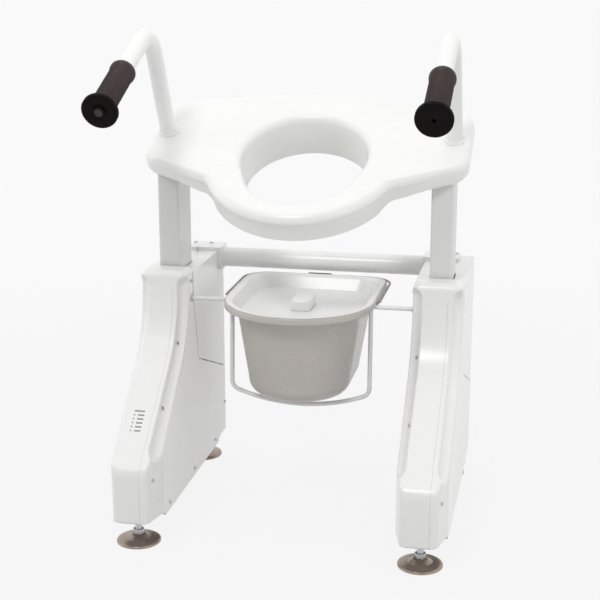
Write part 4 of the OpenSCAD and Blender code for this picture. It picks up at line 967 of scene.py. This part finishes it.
def makeScrews(spec):
    head = screwHead(spec)

    def headShape(shade, scale):
        shape = shade.add("GeometryNodeObjectInfo", values={"Object": head}, output="Geometry")
        return shade.add("GeometryNodeTransform", values={"Geometry": shape, "Scale": scale})
    tree = spreadTree("coverScrews", "platedSteel", ["Head scale"], headShape)
    points, ways = [], []
    for side in (-1, 1):
        flanks = [((spec["flank"], y, z), (1, 0, 0)) for y, z in spec["places"]]
        for (x, y, z), way in flanks + spec["coves"]:
            points.append((side * x, y + rowShift, z))
            ways.append((-side * way[0], way[1], way[2]))
    for (x, y, z), way in spec["toes"]:
        points.append((x, y + rowShift, z))
        ways.append(way)
    screws = spreadOn("coverScrewHeads", tree, points, ways, {"Head scale": 1.0}, spec["crease"])
    seatPiece(screws, "cover_screws", "platedSteel")
    discard(head)


makeScrews(screwSpec)
print("cover screws set")


# foot pads: a thin disc with a raised hub under the stud's nut

padSpec = {"outline": [(0, 0), (38.4, 0), (39, 0.6), (39, 2.4), (38.4, 3.7), (37, 4.6), (34, 5.3), (23, 6.4),
                       (21, 6.9), (19.4, 7.9), (13.2, 12.6), (12.2, 13.4), (10.8, 13.8), (6.1, 13.8), (6.1, 4),
                       (0, 4)],
           "sides": 72, "crease": 40}


def makePads(spec):
    for foot in feet:
        node = foot + "_pad"
        low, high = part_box(node)
        middle = (low + high) / 2 / mm
        place = lambda p: (middle.x + p[0], middle.y + p[1], p[2])
        piece = turned(node + "Turned", spec["outline"], spec["sides"], place)
        smooth(piece, spec["crease"])
        seatPiece(piece, node, "footPad")


makePads(padSpec)
print("foot pads turned")


# everything else: smooth copies of the solids with eased edges

dressSpec = {
    "left_rear_casing": ("towerMoulding", 0.0012), "right_rear_casing": ("towerMoulding", 0.0012),
    "left_bar_saddle": ("powderWhite", 0.0008), "right_bar_saddle": ("powderWhite", 0.0008),
    "cross_bar": ("powderWhite", 0), "wire_cradle": ("dippedWire", 0), "wire_grommets": ("grommetRubber", 0),
    "left_post": ("postCoat", 0.0005), "right_post": ("postCoat", 0.0005),
    "left_arm_collar": ("powderWhite", 0.0004), "right_arm_collar": ("powderWhite", 0.0004),
    "pail_lid": ("lidMoulding", 0.003), "bail_wire": ("bailCoat", 0), "bail_grip": ("bailSleeve", 0.0006),
    "button_bezel": ("gripEnd", 0.0004), "lift_button": ("buttonMoulding", 0.0005),
    "saddle_screws": ("platedSteel", 0), "seat_screws": ("powderWhite", 0),
    "foot_nuts": ("platedSteel", 0.0006),
}
for foot in feet:
    dressSpec[foot + "_stud"] = ("platedSteel", 0.0004)
for node, (finish, edge) in dressSpec.items():
    dress(node, finish, edge)

bracketSpec = {"corner": (272, -4), "way": (24, -20), "finish": "postCoat", "edge": 0.0005}
for side, node in ((-1, "left_seat_bracket"), (1, "right_seat_bracket")):  # corners kept under the round wings
    (x, y), (dx, dy) = bracketSpec["corner"], bracketSpec["way"]
    ends = ((side * x, y, 0), (side * (x + dx), y + dy, 0))
    point, beyond = (Vector(onSeat(seatSpec)(end)) * mm for end in ends)
    dress(node, bracketSpec["finish"], bracketSpec["edge"], [(point, beyond - point)])
print("solids dressed:", len(dressSpec) + 2)

innerSpec = {"base_frame": "primedSteel", "glide_bushes": "glideNylon", "lift_actuator": "turnedSteel",
             "lift_motor": "motorEnamel", "lift_rod": "turnedSteel", "tilt_actuator": "motorEnamel",
             "tilt_rod": "turnedSteel"}
loneSpec = {"control_box": "boxMoulding", "battery_pack": "batteryMoulding", "rod_nuts": "platedSteel",
            "hinge_pins": "turnedSteel", "tilt_pins": "turnedSteel"}
for part, finish in innerSpec.items():
    for side in ("left_", "right_"):
        paint(frame["nodes"][side + part], finish)
for node, finish in loneSpec.items():
    paint(frame["nodes"][node], finish)
print("inner pieces painted")
